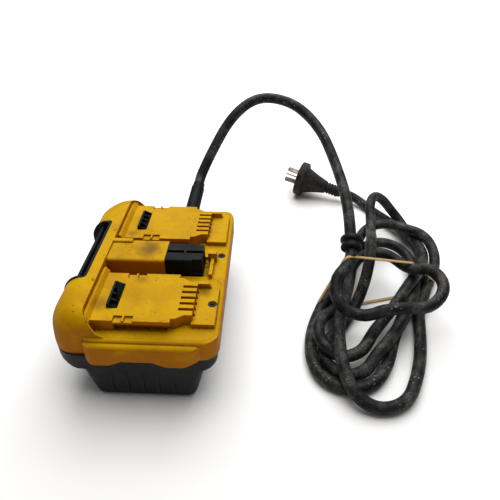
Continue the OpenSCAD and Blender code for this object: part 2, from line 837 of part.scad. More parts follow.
module release_paddle() {
  tip_h = arm_top_h - arm_tip_r;
  color("#1f2022") difference() {
    union() {
      // Curved finger pad
      along_y(paddle_w) {
        round_top([paddle_x, recess_floor_h - 3], [paddle_x + paddle_t, paddle_top_h],
                  paddle_t / 2 - 0.1);
        polygon([
          [paddle_x, recess_floor_h - 3], [paddle_x, pivot_h + 2], [paddle_x + 3, pivot_h - 2],
          [pivot_x, pivot_h - 2],
          [pivot_x, pivot_h + hub_r], [paddle_x + paddle_t + 1, pivot_h + hub_r + 1],
          [paddle_x + paddle_t, recess_floor_h - 2.9]
        ]);
      }
      rod_y([pivot_x, -hub_half, pivot_h], 2 * hub_r, 2 * hub_half);
      // Two arms that carry the latches
      for (s = [-1, 1]) translate([0, s * platform_pitch / 2, 0]) along_y(arm_w) {
        polygon([
          [pivot_x, pivot_h - 2], [pivot_x, pivot_h + hub_r], [latch_mid_x - 8, arm_top_h - 2],
          [latch_mid_x, arm_top_h - 2],
          [latch_mid_x + arm_tip_r, tip_h], [latch_mid_x + arm_tip_r, arm_foot_h],
          [latch_mid_x - 8, arm_foot_h]
        ]);
        translate([latch_mid_x, tip_h]) circle(arm_tip_r);
      }
    }
    rod_y([pivot_x, -body_w / 2, pivot_h], pivot_d + 2 * pin_fit, body_w);
  }
}

module paddle_pivot_pin() {
  half = hub_half + run_fit + post_t;
  color("#9a9c9f") rod_y([pivot_x, -half, pivot_h], pivot_d, 2 * half);
}

// Wedge-faced latch: ribbed head, guide ears under the platform, stem down to its arm
module latch(s) {
  x0 = latch_x + run_fit;
  under = platform_h - head_wall - run_fit;
  pocket = latch_w / latch_pockets;
  color("#1c1d1f") translate([0, s * platform_pitch / 2, 0]) difference() {
    union() {
      along_y(latch_w) polygon([
        [x0, under - 1], [x0, platform_h + latch_rise], [x0 + 1.6, platform_h + latch_rise],
        [x0 + latch_len, platform_h + 0.3], [x0 + latch_len, under - 1]
      ]);
      span([x0 - latch_ear, -latch_w / 2 - latch_ear, under - latch_ear_t],
           [x0 + latch_len + latch_ear, latch_w / 2 + latch_ear, under]);
      span([latch_mid_x - stem_len / 2, -stem_w / 2, arm_top_h + run_fit],
           [latch_mid_x + stem_len / 2, stem_w / 2, under]);
    }
    for (i = [0:latch_pockets - 1]) translate([0, (i + 0.5) * pocket - latch_w / 2, 0])
      span([x0 + 2, -pocket / 2 + 0.8, platform_h - 1.2],
           [x0 + latch_len - 0.8, pocket / 2 - 0.8, platform_h + 5]);
  }
}

module near_latch() { latch(-1); }
module far_latch() { latch(1); }

// Coil spring between a tower and the foot of a latch arm
module return_spring(s) {
  l = arm_foot_h - spring_seat_h - spring_wire - 0.1;
  n = 14;
  r = (spring_d - spring_wire) / 2;
  turn = 360 / n;
  points = [for (i = [0:n * spring_turns])
    [latch_mid_x + r * cos(i * turn), s * platform_pitch / 2 + r * sin(i * turn),
     spring_seat_h + spring_wire / 2 + 0.05 + l * i / (n * spring_turns)]];
  color("#8d9094") tube(points, spring_wire, 6);
}

module near_return_spring() { return_spring(-1); }
module far_return_spring() { return_spring(1); }

// Power connector

module power_connector() {
  y0 = con_y - con_w / 2;
  y1 = con_y + con_w / 2;
  color("#17181a") difference() {
    union() {
      along_x(con_x, con_len) round_top([y0, roof_h - con_flange_t], [y1, con_top_h], 2);
      span([con_x - con_flange + 0.5, y0 - con_flange, roof_h - con_flange_t],
           [con_x + con_len + con_flange, y1 + con_flange, roof_h]);
    }
    // Groove along the top, bridged half way
    span([con_x - 1, con_y - con_slot / 2, platform_h - 9],
         [con_bridge_x, con_y + con_slot / 2, rim_h]);
    span([con_bridge_x + con_bridge_len, con_y - con_slot / 2, platform_h - 9],
         [con_x + con_len + 1, con_y + con_slot / 2, rim_h]);
    // Shallow steps down both long sides at the terminal end
    for (e = [y0 - 1, y1 - 2.2])
      span([con_x + con_len - 9, e, deck_h + 2], [con_x + con_len + 1, e + 3.2, rim_h]);
    for (x = contact_xs)
      span([x - 2, con_y - 0.9, roof_h - con_flange_t - 1], [x + 2, con_y + 0.9, platform_h]);
  }
}

contact_xs = [con_x + 8.5, con_bridge_x + con_bridge_len + 7.5];

module connector_contacts() {
  t = 1.4;
  color("#b08d3e") for (x = contact_xs) {
    span([x - 5, con_y - t / 2, platform_h - 9], [x + 5, con_y + t / 2, con_top_h - 3.5]);
    span([x - 1.6, con_y - t / 2, roof_h - con_flange_t - 5], [x + 1.6, con_y + t / 2, platform_h - 8]);
  }
}

// Electronics

module circuit_board() {
  color("#2f5b3a") difference() {
    span([board_x[0], board_y[0], board_h], [board_x[1], board_y[1], board_top]);
    for (p = board_posts) translate([p.x, p.y, board_h - 1])
      cylinder(d = board_screw_d + 0.4, h = board_t + 2);
  }
}

module board_screws() {
  color("#8d9094") for (p = board_posts) translate([p.x, p.y, board_top]) screw(5, 2, board_screw_d, 6);
}

module bulk_capacitors() {
  d = capacitor_d;
  h = 31;
  color("#23262d") for (x = [3, 3 + capacitor_pitch], y = [capacitor_y, capacitor_y + capacitor_pitch])
    translate([x, y, board_top]) difference() {
      union() {
        cylinder(d = d, h = h - 1);
        cylinder(d = d - 2, h = h);
      }
      translate([0, 0, h - 6]) rotate_extrude() translate([d / 2, 2]) circle(0.8);
      for (a = [0, 90]) rotate([0, 0, a]) translate([-d / 4, -0.4, h - 0.5]) cube([d / 2, 0.8, 1]);
    }
}

module filter_choke() {
  color("#a4562c") translate([4, choke_y, board_top]) rotate_extrude() rounded([7, 0], [14, 13], 3);
}

module heat_sink() {
  x0 = -8;
  l = 44;
  fins = 8;
  fin_t = 1.6;
  color("#a9adb2") translate([0, 0, board_top]) linear_extrude(30) {
    translate([x0, sink_y]) square([l, 3]);
    for (i = [0:fins - 1]) translate([x0 + i * (l - fin_t) / (fins - 1), sink_y]) square([fin_t, 14]);
  }
}

module bridge_rectifier() {
  t = rectifier_t;
  color("#1d1e20") difference() {
    span([2, sink_y - t, board_top + 4], [26, sink_y, board_top + 26]);
    rod_y([14, sink_y - t - 1, board_top + 21], 3.6, t + 2);
  }
  color("#b9bcc0") for (i = [0:3])
    span([4.5 + i * 6, sink_y - t / 2 - 0.5, board_top],
         [5.7 + i * 6, sink_y - t / 2 + 0.5, board_top + 4]);
}

module power_relay() {
  color("#2b4d78")
    span([24, choke_y - relay_half, board_top], [37, choke_y + relay_half, board_top + 25]);
}

module line_fuse() {
  x = 35;
  y0 = board_y[1] - 23;
  z = board_top + 5.5;
  color("#d8d3c4") rod_y([x, y0 + 1, z], 5.2, 11);
  color("#b9bcc0") for (y = [y0, y0 + 9]) {
    rod_y([x, y, z], 6.4, 5);
    span([x - 2.4, y + 1, board_top], [x + 2.4, y + 4, z]);
  }
}

module film_capacitor() {
  y0 = board_y[1] - 22;
  color("#c9a227") translate([0, 0, board_top]) linear_extrude(17) rounded([-10, y0], [-1, y0 + 14], 1);
}

module terminal_block() {
  color("#33563c") difference() {
    span([4, core_end_y - 9, board_top], [28, core_end_y + 3, terminal_top]);
    for (x = core_xs) {
      translate([x, core_end_y - 5, terminal_top - 2]) cylinder(d = 5, h = 3);
      rod_y([x, core_end_y, core_h], 4, 10);
    }
  }
}

core_xs = [9, 16, 23];
core_h = board_top + 4;
core_end_y = board_y[1] - 15;

// Two output wires up to the connector's tails
module output_leads() {
  z1 = roof_h - con_flange_t - 5;
  color("#a3302a") for (i = [0, 1]) {
    x = 21 + 12 * i;
    y = choke_y - relay_half - 1.9;
    tube([[x, y, board_top], [x, y, 30], [x, y, 38],
          [contact_xs[i], con_y, z1 - 6], [contact_xs[i], con_y, z1]], 2.6, 8);
  }
}

// Three cores from the sheath into the terminal block
module supply_cores() {
  color("#7a4a2a") for (i = [0:2]) {
    x0 = gland_x + (i - 1) * 3.2;
    x1 = core_xs[i];
    tube([
      [x0, sheath_end_y, gland_h], [x0, sheath_end_y - 3, gland_h],
      [x1, sheath_end_y - 6.5, gland_h - 6], [x1, sheath_end_y - 7, 32],
      [x1, sheath_end_y - 7.5, core_h + 5], [x1, sheath_end_y - 10.5, core_h], [x1, core_end_y, core_h]
    ], 2.8, 8);
  }
}

module cord_sheath_end() {
  color("#25262a") rod_y([gland_x, sheath_end_y, gland_h], cord_d, side_y - wall - 1 - sheath_end_y);
}

// Saddle over the sheath, screwed to its pedestal
module cord_clamp() {
  r = cord_d / 2 + 0.1;
  out = r + clamp_wall;
  color("#2a2c2f") difference() {
    translate([0, clamp_y + clamp_w / 2, 0]) along_y(clamp_w) difference() {
      union() {
        translate([gland_x - clamp_half, clamp_foot_h]) square([2 * clamp_half, clamp_foot_t]);
        translate([gland_x - out, clamp_foot_h]) square([2 * out, cord_d / 2]);
        translate([gland_x, gland_h]) circle(out);
      }
      translate([gland_x, gland_h]) circle(r);
      translate([gland_x - r, clamp_foot_h - 4]) square([2 * r, cord_d / 2 + 4]);
      translate([gland_x - clamp_half, clamp_foot_h - 10]) square([2 * clamp_half, 10]);
    }
    for (e = [-1, 1]) translate([gland_x + e * clamp_screw_at, clamp_y + clamp_w / 2, clamp_foot_h - 1])
      cylinder(d = clamp_screw_d + 0.4, h = 6);
  }
}

module clamp_screws() {
  color("#8d9094") for (e = [-1, 1])
    translate([gland_x + e * clamp_screw_at, clamp_y + clamp_w / 2, clamp_foot_h + clamp_foot_t])
    screw(4.4, 1.8, clamp_screw_d, 13);
}

module housing_screws() {
  color("#55585c") for (x = boss_xs, s = [-1, 1])
    translate([x, s * boss_y, counterbore_h]) rotate([180, 0, 0]) screw(screw_head_d, 3, screw_d, 30);
}

module deck_screws() {
  color("#3b3d40") {
    translate([deck_screw_at[0].x, deck_screw_at[0].y, rear_deck_h - 2.5])
      screw(screw_head_d, 1.8, screw_d, 12);
    translate([deck_screw_at[1].x, deck_screw_at[1].y, deck_h - 2])
      screw(screw_head_d, 1.6, screw_d, 10);
  }
}

// Lead, hank and plug

module strain_relief_boot() {
  y_in = side_y - wall;
  y_out = body_w / 2;
  color("#1b1c20") {
    rod_y([gland_x, y_in - 1, gland_h], boot_neck_d, y_out - y_in + 2);
    rod_y([gland_x, y_out, gland_h], boot_flange_d, boot_flange_t);
    difference() {
      aim(boot_root, boot_dir) {
        cylinder(d1 = boot_root_d, d2 = boot_tip_d + 1, h = boot_len - 6);
        cylinder(d = boot_tip_d - 0.8, h = boot_len);
      }
      span([gland_x - boot_flange_d, y_in, 0], [gland_x + boot_flange_d, y_out, rim_h]);
    }
  }
}

module cord_lead() {
  color("#2a2b2e") tube(lead_points, cord_d, cord_sides);
}

// Outline of the hank, grown by e
module hank_plan(e) {
  hull() for (k = hank_knots) translate([k.x, k.y]) circle(k.z + e, $fn = 32);
}

module cord_hank() {
  color("#2a2b2e") difference() {
    translate([0, 0, hank_foot]) linear_extrude(hank_h - hank_foot) hank_plan(0);
    // Waist under the rubber band
    across_band(band_w + 2) difference() {
      translate([-body_w, -1]) square([3 * body_w, rim_h]);
      band_section(0);
    }
  }
}

module cord_tail() {
  color("#2a2b2e") tube(tail_points, cord_d, cord_sides);
}

// Loose rubber grommet on the lead, a spool with two lips
module cord_collar() {
  r = cord_d / 2;
  h = 13;
  color("#1b1c20") aim(lead_points[collar_at], tangent(lead_points, collar_at))
    translate([0, 0, -h / 2]) rotate_extrude() polygon([
      [r + 0.8, 0], [r + 5, 0], [r + 6, 1], [r + 6, 4], [r + 5.2, 5], [r + 3.2, 5.8], [r + 3.2, h - 5],
      [r + 4.6, h - 4.2], [r + 5.2, h - 3.4], [r + 5.2, h - 1], [r + 4.4, h], [r + 0.8, h]
    ]);
}

// Section of the hank where the band draws it in, grown by e
module band_section(e) {
  hull() for (k = band_knots) translate(k) circle(cord_d / 2 + e, $fn = 32);
}

// Extrudes a section of the hank across the band's width
module across_band(w) {
  translate([band_start.x, band_start.y, 0]) rotate([0, 0, band_turn]) along_y(w) children();
}

// Rubber band stretched round the middle of the hank
module hank_band() {
  color("#b89860") across_band(band_w) difference() {
    band_section(band_t + fit);
    band_section(fit);
  }
}

// Profile of the plug, face at zero and neck end at its length
module plug_body() {
  r = plug_d / 2;
  neck_r = cord_d / 2 + 2.6;
  color("#1d1c1b") aim(plug_neck_end, plug_dir) rotate_extrude() polygon([
    [0, 0], [neck_r - 1.4, 0], [neck_r - 0.6, 4], [neck_r, 8], [neck_r, 20], [neck_r + 3, 26],
    [r - 6, plug_len - 18],
    [r - 2.5, plug_len - 6], [r - 0.5, plug_len - 4.5], [r, plug_len - 3.5], [r, plug_len - 1],
    [r - 1, plug_len], [0, plug_len]
  ]);
}

// Flat blades on the plug's face
module blade(l) {
  difference() {
    translate([-3.175, -0.815, 0]) cube([6.35, 1.63, l]);
    for (e = [-1, 1]) translate([e * 3.175, 0, l]) rotate([0, 45, 0]) cube([2, 4, 2], center = true);
  }
}

module plug_blades() {
  color("#b4b0a4") aim(plug_neck_end, plug_dir) translate([0, 0, plug_len])
    for (e = [-1, 1]) rotate([0, 0, plug_turn]) translate([4, e * 6.9, 0]) rotate([0, 0, e * 30 + 90])
      blade(17);
}

module plug_earth_blade() {
  color("#b4b0a4") aim(plug_neck_end, plug_dir) translate([0, 0, plug_len])
    rotate([0, 0, plug_turn]) translate([-10.3, 0, 0]) blade(20);
}

top_housing();
front_hood();
centre_bar();
bottom_housing();
near_base_plate();
far_base_plate();
near_battery_head();
far_battery_head();
grip_bezel();
release_paddle();
paddle_pivot_pin();
near_latch();
far_latch();
near_return_spring();
far_return_spring();
power_connector();
connector_contacts();
near_terminal_contacts();
far_terminal_contacts();
chassis_plate();
circuit_board();
board_screws();
bulk_capacitors();
filter_choke();
bridge_rectifier();
heat_sink();
power_relay();
line_fuse();
film_capacitor();
terminal_block();
output_leads();
supply_cores();
cord_sheath_end();
cord_clamp();
clamp_screws();
housing_screws();
deck_screws();
strain_relief_boot();
cord_lead();
cord_hank();
cord_tail();
cord_collar();
hank_band();
plug_body();
plug_blades();
plug_earth_blade();
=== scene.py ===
"""Power tool AC adapter: finishes, hood, tub, lead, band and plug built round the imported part."""

import json
import logging
import math
from collections.abc import Iterable, Sequence
from dataclasses import dataclass, field
from enum import Enum
from functools import partial

import bmesh
import bpy
import numpy as np
from mathutils import Matrix, Vector


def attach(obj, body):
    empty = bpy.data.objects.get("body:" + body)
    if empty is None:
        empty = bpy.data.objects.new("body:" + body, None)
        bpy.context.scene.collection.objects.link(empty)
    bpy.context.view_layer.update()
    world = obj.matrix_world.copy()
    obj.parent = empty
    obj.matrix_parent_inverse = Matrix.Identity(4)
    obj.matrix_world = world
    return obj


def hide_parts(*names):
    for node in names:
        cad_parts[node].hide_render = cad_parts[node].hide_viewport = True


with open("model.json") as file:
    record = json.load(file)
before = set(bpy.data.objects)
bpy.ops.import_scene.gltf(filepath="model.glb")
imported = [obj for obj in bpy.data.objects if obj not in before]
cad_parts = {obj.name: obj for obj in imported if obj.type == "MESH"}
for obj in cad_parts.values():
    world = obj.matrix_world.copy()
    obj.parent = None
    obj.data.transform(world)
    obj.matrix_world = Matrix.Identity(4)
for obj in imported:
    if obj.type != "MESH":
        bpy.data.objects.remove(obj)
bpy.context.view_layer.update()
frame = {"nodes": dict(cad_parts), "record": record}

LOG = logging.getLogger("adapter")
MM = 0.001
HOUSING = "housing"

Flat = tuple[float, float]
Point = tuple[float, float, float]
Socket = str | int
Tree = bpy.types.NodeTree
Wire = bpy.types.NodeSocket
Piece = bpy.types.Object
Settings = dict[Socket, object]
Links = dict[Socket, Wire]
Masks = tuple[Wire, ...]
EdgeSets = tuple[tuple[float, tuple[str, ...]], ...]

# Where the photograph was taken from
EYE_MM: Point = (101.0, -354.4, 354.7)


def linear(code: str) -> tuple[float, float, float, float]:
    """Turn an sRGB hex colour into linear values.

    Args:
        code: Colour such as "#d4a614".

    Returns:
        Red, green, blue and an alpha of one.
    """
    parts = [int(code[i : i + 2], 16) / 255 for i in (1, 3, 5)]
    red, green, blue = (c / 12.92 if c <= 0.04045 else ((c + 0.055) / 1.055) ** 2.4 for c in parts)
    return red, green, blue, 1.0


def per_metre(size_mm: float) -> float:
    """Scale of a pattern whose features are size_mm across, for coordinates in metres."""
    return 1.0 / (size_mm * MM)


def smooth(low: float, high: float, top: float = 1.0) -> Settings:
    """Settings that spread a value between low and high to a mask that rises from 0 to top."""
    return {1: low, 2: high, 3: 0.0, 4: top, "interpolation_type": "SMOOTHSTEP"}


def cloudy(size_mm: float, detail: float = 4.0) -> Settings:
    """Settings of noise with features of a given size."""
    return {"Scale": per_metre(size_mm), "Detail": detail, "Roughness": 0.6}


@dataclass(frozen=True)
class Smudge:
    """A rubbed dirty patch round one place."""

    place_mm: Point
    radius_mm: float
    strength: float


@dataclass(frozen=True)
class Finish:
    """A surface as it was made and worn.

    Each pattern's size is in millimetres. Painted shade darkens corners and upright walls, dirt lies in
    specks, and wear lightens edges.
    """

    name: str
    base: str
    mottle: str
    roughness: float
    mottle_mm: float = 30.0
    mottle_share: float = 0.35
    rough_swing: float = 0.12
    # Real grain is about 0.2 mm across; it is drawn coarser so that it shows
    grain_mm: float = 0.6
    grain_depth_mm: float = 0.03
    # Colour of dirt specks, and of the painted shade in corners
    grime_and_shade: str = "#2b2118"
    speck_mm: float = 2.4
    speck_share: float = 0.0
    # Painted shade in corners and slots, found by ambient occlusion
    corner_shade: float = 0.0
    corner_mm: float = 6.0
    wear: str = "#8a8a88"
    edge_wear: float = 0.0
    edge_mm: float = 0.7
    dust: str = "#8b8072"
    dust_share: float = 0.0
    dust_mm: float = 18.0
    metallic: float = 0.0
    specular: float = 0.3
    # Painted shade on upright walls, darker than on faces that look up
    wall: str = "#b06508"
    wall_shade_share: float = 0.0
    smudges: tuple[Smudge, ...] = ()

    def make(self) -> bpy.types.Material:
        """Build the material.

        Returns:
            A material with one principled shader.
        """
        material = bpy.data.materials.new(self.name)
        material.use_nodes = True
        material.node_tree.nodes.clear()
        Brush(self, material.node_tree).paint()
        return material


class Brush:
    """Draws one finish with procedural nodes."""

    def __init__(self, finish: Finish, tree: Tree) -> None:
        """Start on the piece's own coordinates.

        Args:
            finish: What to draw.
            tree: Empty node tree of its material.
        """
        self.finish, self.tree = finish, tree
        self.coord = self.add("ShaderNodeTexCoord", out="Object")

    def add(
        self, kind: str, settings: Settings | None = None, links: Links | None = None, out: Socket = 0
    ) -> Wire | None:
        """Add a node with its settings and links.

        Args:
            kind: Blender's name for the node.
            settings: Values by input socket, or by attribute where no socket has that name.
            links: Sockets that feed its inputs, by input socket.
            out: Which of its outputs to give.

        Returns:
            That output, or nothing where the node has none.
        """
        node = self.tree.nodes.new(kind)
        for key, value in (settings or {}).items():
            if isinstance(key, int) or key in node.inputs:
                node.inputs[key].default_value = value
            else:
                setattr(node, key, value)
        for key, socket in (links or {}).items():
            self.tree.links.new(socket, node.inputs[key])
        return node.outputs[out] if node.outputs else None

    def paint(self) -> None:
        """Lay the finish's layers over its mottled base and feed the shader."""
        f = self.finish
        tones = {"data_type": "RGBA", 6: linear(f.base), 7: linear(f.mottle)}
        mottle = self.patches(f.mottle_mm, 0.38, 0.68, f.mottle_share)
        colour = self.add("ShaderNodeMix", tones, {0: mottle}, 2)
        # The corner and wall layers are painted shade; dust, specks, smudges and edge wear are the surface's
        # own
        layers = [
            (f.dust_share, self.dusty, f.dust),
            (f.corner_shade, self.shaded_corners, f.grime_and_shade),
            (f.speck_share, self.specked, f.grime_and_shade),
            (f.wall_shade_share, self.upright, f.wall),
            *((s.strength, partial(self.smudged, s), f.dust) for s in f.smudges),
            (f.edge_wear, self.rubbed, f.wear),
        ]
        for share, masks, over in layers:
            if share:
                cover, *others = masks()
                for mask in others:
                    cover = self.add("ShaderNodeMath", {"operation": "MULTIPLY"}, {0: cover, 1: mask})
                tones = {"data_type": "RGBA", 7: linear(over)}
                colour = self.add("ShaderNodeMix", tones, {0: cover, 6: colour}, 2)
        settings = {"Metallic": f.metallic, "Specular IOR Level": f.specular}
        links = {"Base Color": colour, "Roughness": self.rough(), "Normal": self.grain()}
        shader = self.add("ShaderNodeBsdfPrincipled", settings, links)
        self.add("ShaderNodeOutputMaterial", links={"Surface": shader})

    def patches(self, size_mm: float, low: float, high: float, top: float = 1.0, detail: float = 4.0) -> Wire:
        """Mask of patches of a given size."""
        cloud = self.add("ShaderNodeTexNoise", cloudy(size_mm, detail), {"Vector": self.coord})
        return self.add("ShaderNodeMapRange", smooth(low, high, top), {0: cloud})

    def dusty(self) -> Masks:
        """Patches of dry dust, broken up by finer grains."""
        grains = self.patches(1.3, 0.3, 0.75, self.finish.dust_share)
        return self.patches(self.finish.dust_mm, 0.42, 0.72), grains

    def shaded_corners(self) -> Masks:
        """Find corners and slots, where shade falls.

        Returns:
            How deep they are, for the painted shade in them, and what breaks it up.
        """
        reach = {"Distance": self.finish.corner_mm * MM, "samples": 6}
        # Painted shade: darker colour where ambient occlusion finds shade
        shut = self.add("ShaderNodeAmbientOcclusion", reach, out="AO")
        deep = self.add("ShaderNodeMapRange", smooth(0.85, 0.25, self.finish.corner_shade), {0: shut})
        return deep, self.patches(3.0, 0.25, 0.7)

    def specked(self) -> Masks:
        """Small dark specks that lie in groups."""
        groups = self.patches(26.0, 0.48, 0.66, self.finish.speck_share, 2.0)
        return groups, self.patches(self.finish.speck_mm, 0.6, 0.68)

    def upright(self) -> Masks:
        """Find upright walls.

        Returns:
            Their painted shade, weaker towards faces that look up, and what breaks it up.
        """
        # Painted shade: upright faces get a darker tone than faces that look up
        normal = self.add("ShaderNodeNewGeometry", out="Normal")
        up = self.add("ShaderNodeSeparateXYZ", links={0: normal}, out="Z")
        steep = self.add("ShaderNodeMapRange", smooth(0.95, 0.15, self.finish.wall_shade_share), {0: up})
        return steep, self.patches(22.0, 0.1, 0.5)

    def smudged(self, smudge: Smudge) -> Masks:
        """Ragged round patch.

        Args:
            smudge: Where it is, how wide and how strong.

        Returns:
            The patch alone.
        """
        radius = smudge.radius_mm * MM
        centre = {"operation": "DISTANCE", 1: tuple(c * MM for c in smudge.place_mm)}
        away = self.add("ShaderNodeVectorMath", centre, {0: self.coord}, "Value")
        ragged = self.add("ShaderNodeTexNoise", cloudy(7.0), {"Vector": self.coord})
        swing = {"operation": "MULTIPLY_ADD", 1: radius}
        reach = self.add("ShaderNodeMath", swing, {0: ragged, 2: away})
        spread = smooth(1.5 * radius, 0.55 * radius, smudge.strength)
        return (self.add("ShaderNodeMapRange", spread, {0: reach}),)

    def rubbed(self) -> Masks:
        """Find edges.

        Returns:
            Those that are rubbed lighter, and what breaks them up.
        """
        soft = self.add("ShaderNodeBevel", {"Radius": self.finish.edge_mm * MM, "samples": 4})
        links = {0: soft, 1: self.add("ShaderNodeNewGeometry", out="Normal")}
        turned = self.add("ShaderNodeVectorMath", {"operation": "DOT_PRODUCT"}, links, "Value")
        edge = self.add("ShaderNodeMapRange", smooth(0.995, 0.86, self.finish.edge_wear), {0: turned})
        return edge, self.patches(5.0, 0.35, 0.62)

    def rough(self) -> Wire:
        """Change the roughness with handling.

        Returns:
            The roughness.
        """
        middle, swing = self.finish.roughness, self.finish.rough_swing
        spread = {1: 0.3, 2: 0.7, 3: max(middle - swing, 0.05), 4: min(middle + swing, 1.0)}
        cloud = self.add("ShaderNodeTexNoise", cloudy(9.0), {"Vector": self.coord})
        return self.add("ShaderNodeMapRange", spread, {0: cloud})

    def grain(self) -> Wire:
        """Raise the fine relief of the surface.

        Returns:
            The normal that it gives.
        """
        height = self.add("ShaderNodeTexNoise", cloudy(self.finish.grain_mm, 3.0), {"Vector": self.coord})
        relief = {"Strength": 0.6, "Distance": self.finish.grain_depth_mm * MM}
        return self.add("ShaderNodeBump", relief, {"Height": height})


class Finishes(Enum):
    """Every finish on the adapter, by the record's material slot."""

    # ABS moulded in a spark-eroded tool: satin amber with a fine orange-peel grain, workshop grime, and
    # painted shade in its corners and on its upright walls
    YELLOW_ABS = Finish(
        "abs_moulded_amber_spark_textured", "#c19404", "#a97905", 0.5, mottle_mm=40.0, mottle_share=0.6,
        grain_mm=0.8, grain_depth_mm=0.035, grime_and_shade="#4a2a08", speck_share=1.0, speck_mm=2.8, corner_shade=0.9,
        corner_mm=9.0, wear="#d6aa2a", edge_wear=0.25, dust="#5c451a", dust_share=0.4, dust_mm=22.0,
        specular=0.04, wall="#a65a08", wall_shade_share=0.78,
        smudges=(
            Smudge((-6.0, 2.0, 86.0), 17.0, 0.8),
            Smudge((-33.0, -66.0, 80.0), 12.0, 0.55),
            Smudge((-6.0, -34.0, 80.0), 9.0, 0.5),
            Smudge((50.0, -42.0, 72.0), 9.0, 0.55),
            Smudge((-30.0, 34.0, 80.0), 9.0, 0.5),
            Smudge((-70.0, -80.0, 62.0), 12.0, 0.4),
        ),
    )
    # Carbon-filled ABS with a coarse tool texture: flat charcoal that catches a little dust, with painted
    # shade in its corners
    CHARCOAL_ABS = Finish(
        "abs_moulded_charcoal_textured", "#131517", "#0f1113", 0.6, specular=0.2, grain_mm=0.9,
        grain_depth_mm=0.05, corner_shade=0.3, grime_and_shade="#0e0e0e", wear="#4a4d50", edge_wear=0.3,
        dust="#5b574f", dust_share=0.18,
    )
    # Glass-filled nylon: satin black that rubs grey along its edges
    BLACK_NYLON = Finish(
        "nylon_glass_filled_moulded_black", "#0c0e0f", "#121415", 0.55, specular=0.08, grain_mm=0.7,
        wear="#3c3e40", edge_wear=0.5, edge_mm=0.9, dust="#6e665a", dust_share=0.14,
    )
    # Bright zinc plating over steel: cool grey with faint cloudiness
    ZINC_STEEL = Finish("steel_zinc_plated", "#b4b6ba", "#94979c", 0.32, metallic=1.0, mottle_mm=4.0)
    # Black-oxide screw heads: near black with an oily sheen
    BLACK_OXIDE_STEEL = Finish("steel_black_oxide", "#1d1d1e", "#161616", 0.5, metallic=0.7, mottle_mm=3.0)
    # Hard-drawn wire: darker grey with a drawn sheen
    SPRING_STEEL = Finish("steel_spring_drawn", "#a2a4a8", "#84868a", 0.35, metallic=1.0, mottle_mm=3.0)
    # Stamped brass: warm and slightly tarnished
    CONTACT_BRASS = Finish("brass_stamped", "#c29a4a", "#8f6d33", 0.34, metallic=1.0, mottle_mm=5.0)
    # Nickel-plated brass rubbed through by sockets: dull grey with warm bare patches
    NICKEL_BRASS = Finish(
        "brass_nickel_plated_worn", "#7f796d", "#4f463a", 0.5, metallic=1.0, mottle_mm=7.0, mottle_share=0.9,
        rough_swing=0.15, speck_share=0.5, grime_and_shade="#3a3026",
    )
    # Glass-epoxy board under green solder mask: glossy with a slight weave
    LAMINATE = Finish("glass_epoxy_solder_mask_green", "#1f5a33", "#194a2b", 0.3, grain_mm=0.5)
    # Shrunk vinyl sleeve: dark blue-black and glossy
    CAPACITOR_SLEEVE = Finish("vinyl_sleeve_shrunk_dark", "#232730", "#1c2028", 0.28, grain_mm=1.5)
    # Enamelled copper winding: brown-red with a varnish gloss
    ENAMELLED_COPPER = Finish(
        "copper_enamelled_wound", "#a34c22", "#7a3416", 0.3, grain_mm=0.8, grain_depth_mm=0.15
    )
    # Mill-finish extrusion: pale grey with soft lines
    BARE_ALUMINIUM = Finish(
        "aluminium_extruded_bare", "#c9cbce", "#b2b4b8", 0.35, metallic=1.0, mottle_mm=6.0
    )
    # Transfer-moulded epoxy: dull black
    EPOXY = Finish("epoxy_transfer_moulded", "#1f1f20", "#282829", 0.55)
    # Moulded polyester case: blue with a gloss
    RELAY_CASE = Finish("polyester_moulded_blue", "#2f5587", "#284a77", 0.3)
    # Glazed ceramic tube: cream and glossy
    CERAMIC = Finish("ceramic_glazed_cream", "#d8d2c0", "#c9c2ae", 0.2)
    # Boxed film capacitor: yellow moulded case
    FILM_CASE = Finish("polyester_moulded_yellow", "#c79f1c", "#b48f18", 0.35)
    # Polyamide terminal housing: mid green, satin
    GREEN_POLYAMIDE = Finish("polyamide_moulded_green", "#2f6b3a", "#275b31", 0.45)
    # Extruded core insulation: brown with a soft gloss
    CORE_INSULATION = Finish("pvc_core_extruded_brown", "#7a3f22", "#69361d", 0.4)
    # Extruded rubber sheath: near black and dry, with grey dust in patches and chalky flecks
    RUBBER_SHEATH = Finish(
        "rubber_sheath_extruded_dusty", "#101011", "#0a0a0b", 0.56, specular=0.2, mottle_mm=26.0,
        mottle_share=0.8, rough_swing=0.2, grain_mm=1.4, grain_depth_mm=0.1, dust="#6d6b64", dust_share=0.85,
        dust_mm=16.0, speck_share=0.7, speck_mm=2.2, grime_and_shade="#a19a8e",
    )
    # Moulded rubber boot and collar: blue-black with a slight bloom
    BOOT_RUBBER = Finish(
        "rubber_moulded_blue_black", "#0c0f14", "#090b0f", 0.55, specular=0.16, wear="#3d424a", edge_wear=0.4,
        dust="#5a5a5a", dust_share=0.2,
    )
    # Natural rubber band: tan with a waxy surface
    BAND_RUBBER = Finish("natural_rubber_cut_band", "#b1925c", "#957746", 0.5, mottle_mm=6.0)
    # Moulded plug: brown-black rubber with dust rubbed into it
    PLUG_RUBBER = Finish(
        "rubber_moulded_plug_dusty", "#181614", "#121110", 0.62, specular=0.2, wear="#4c463e", edge_wear=0.5,
        dust="#6a5a48", dust_share=0.45, dust_mm=12.0, grain_depth_mm=0.06,
    )

    @classmethod
    def for_slot(cls, slot: str) -> "Finishes":
        """The finish for one of the record's material slots."""
        return cls[slot.upper()]


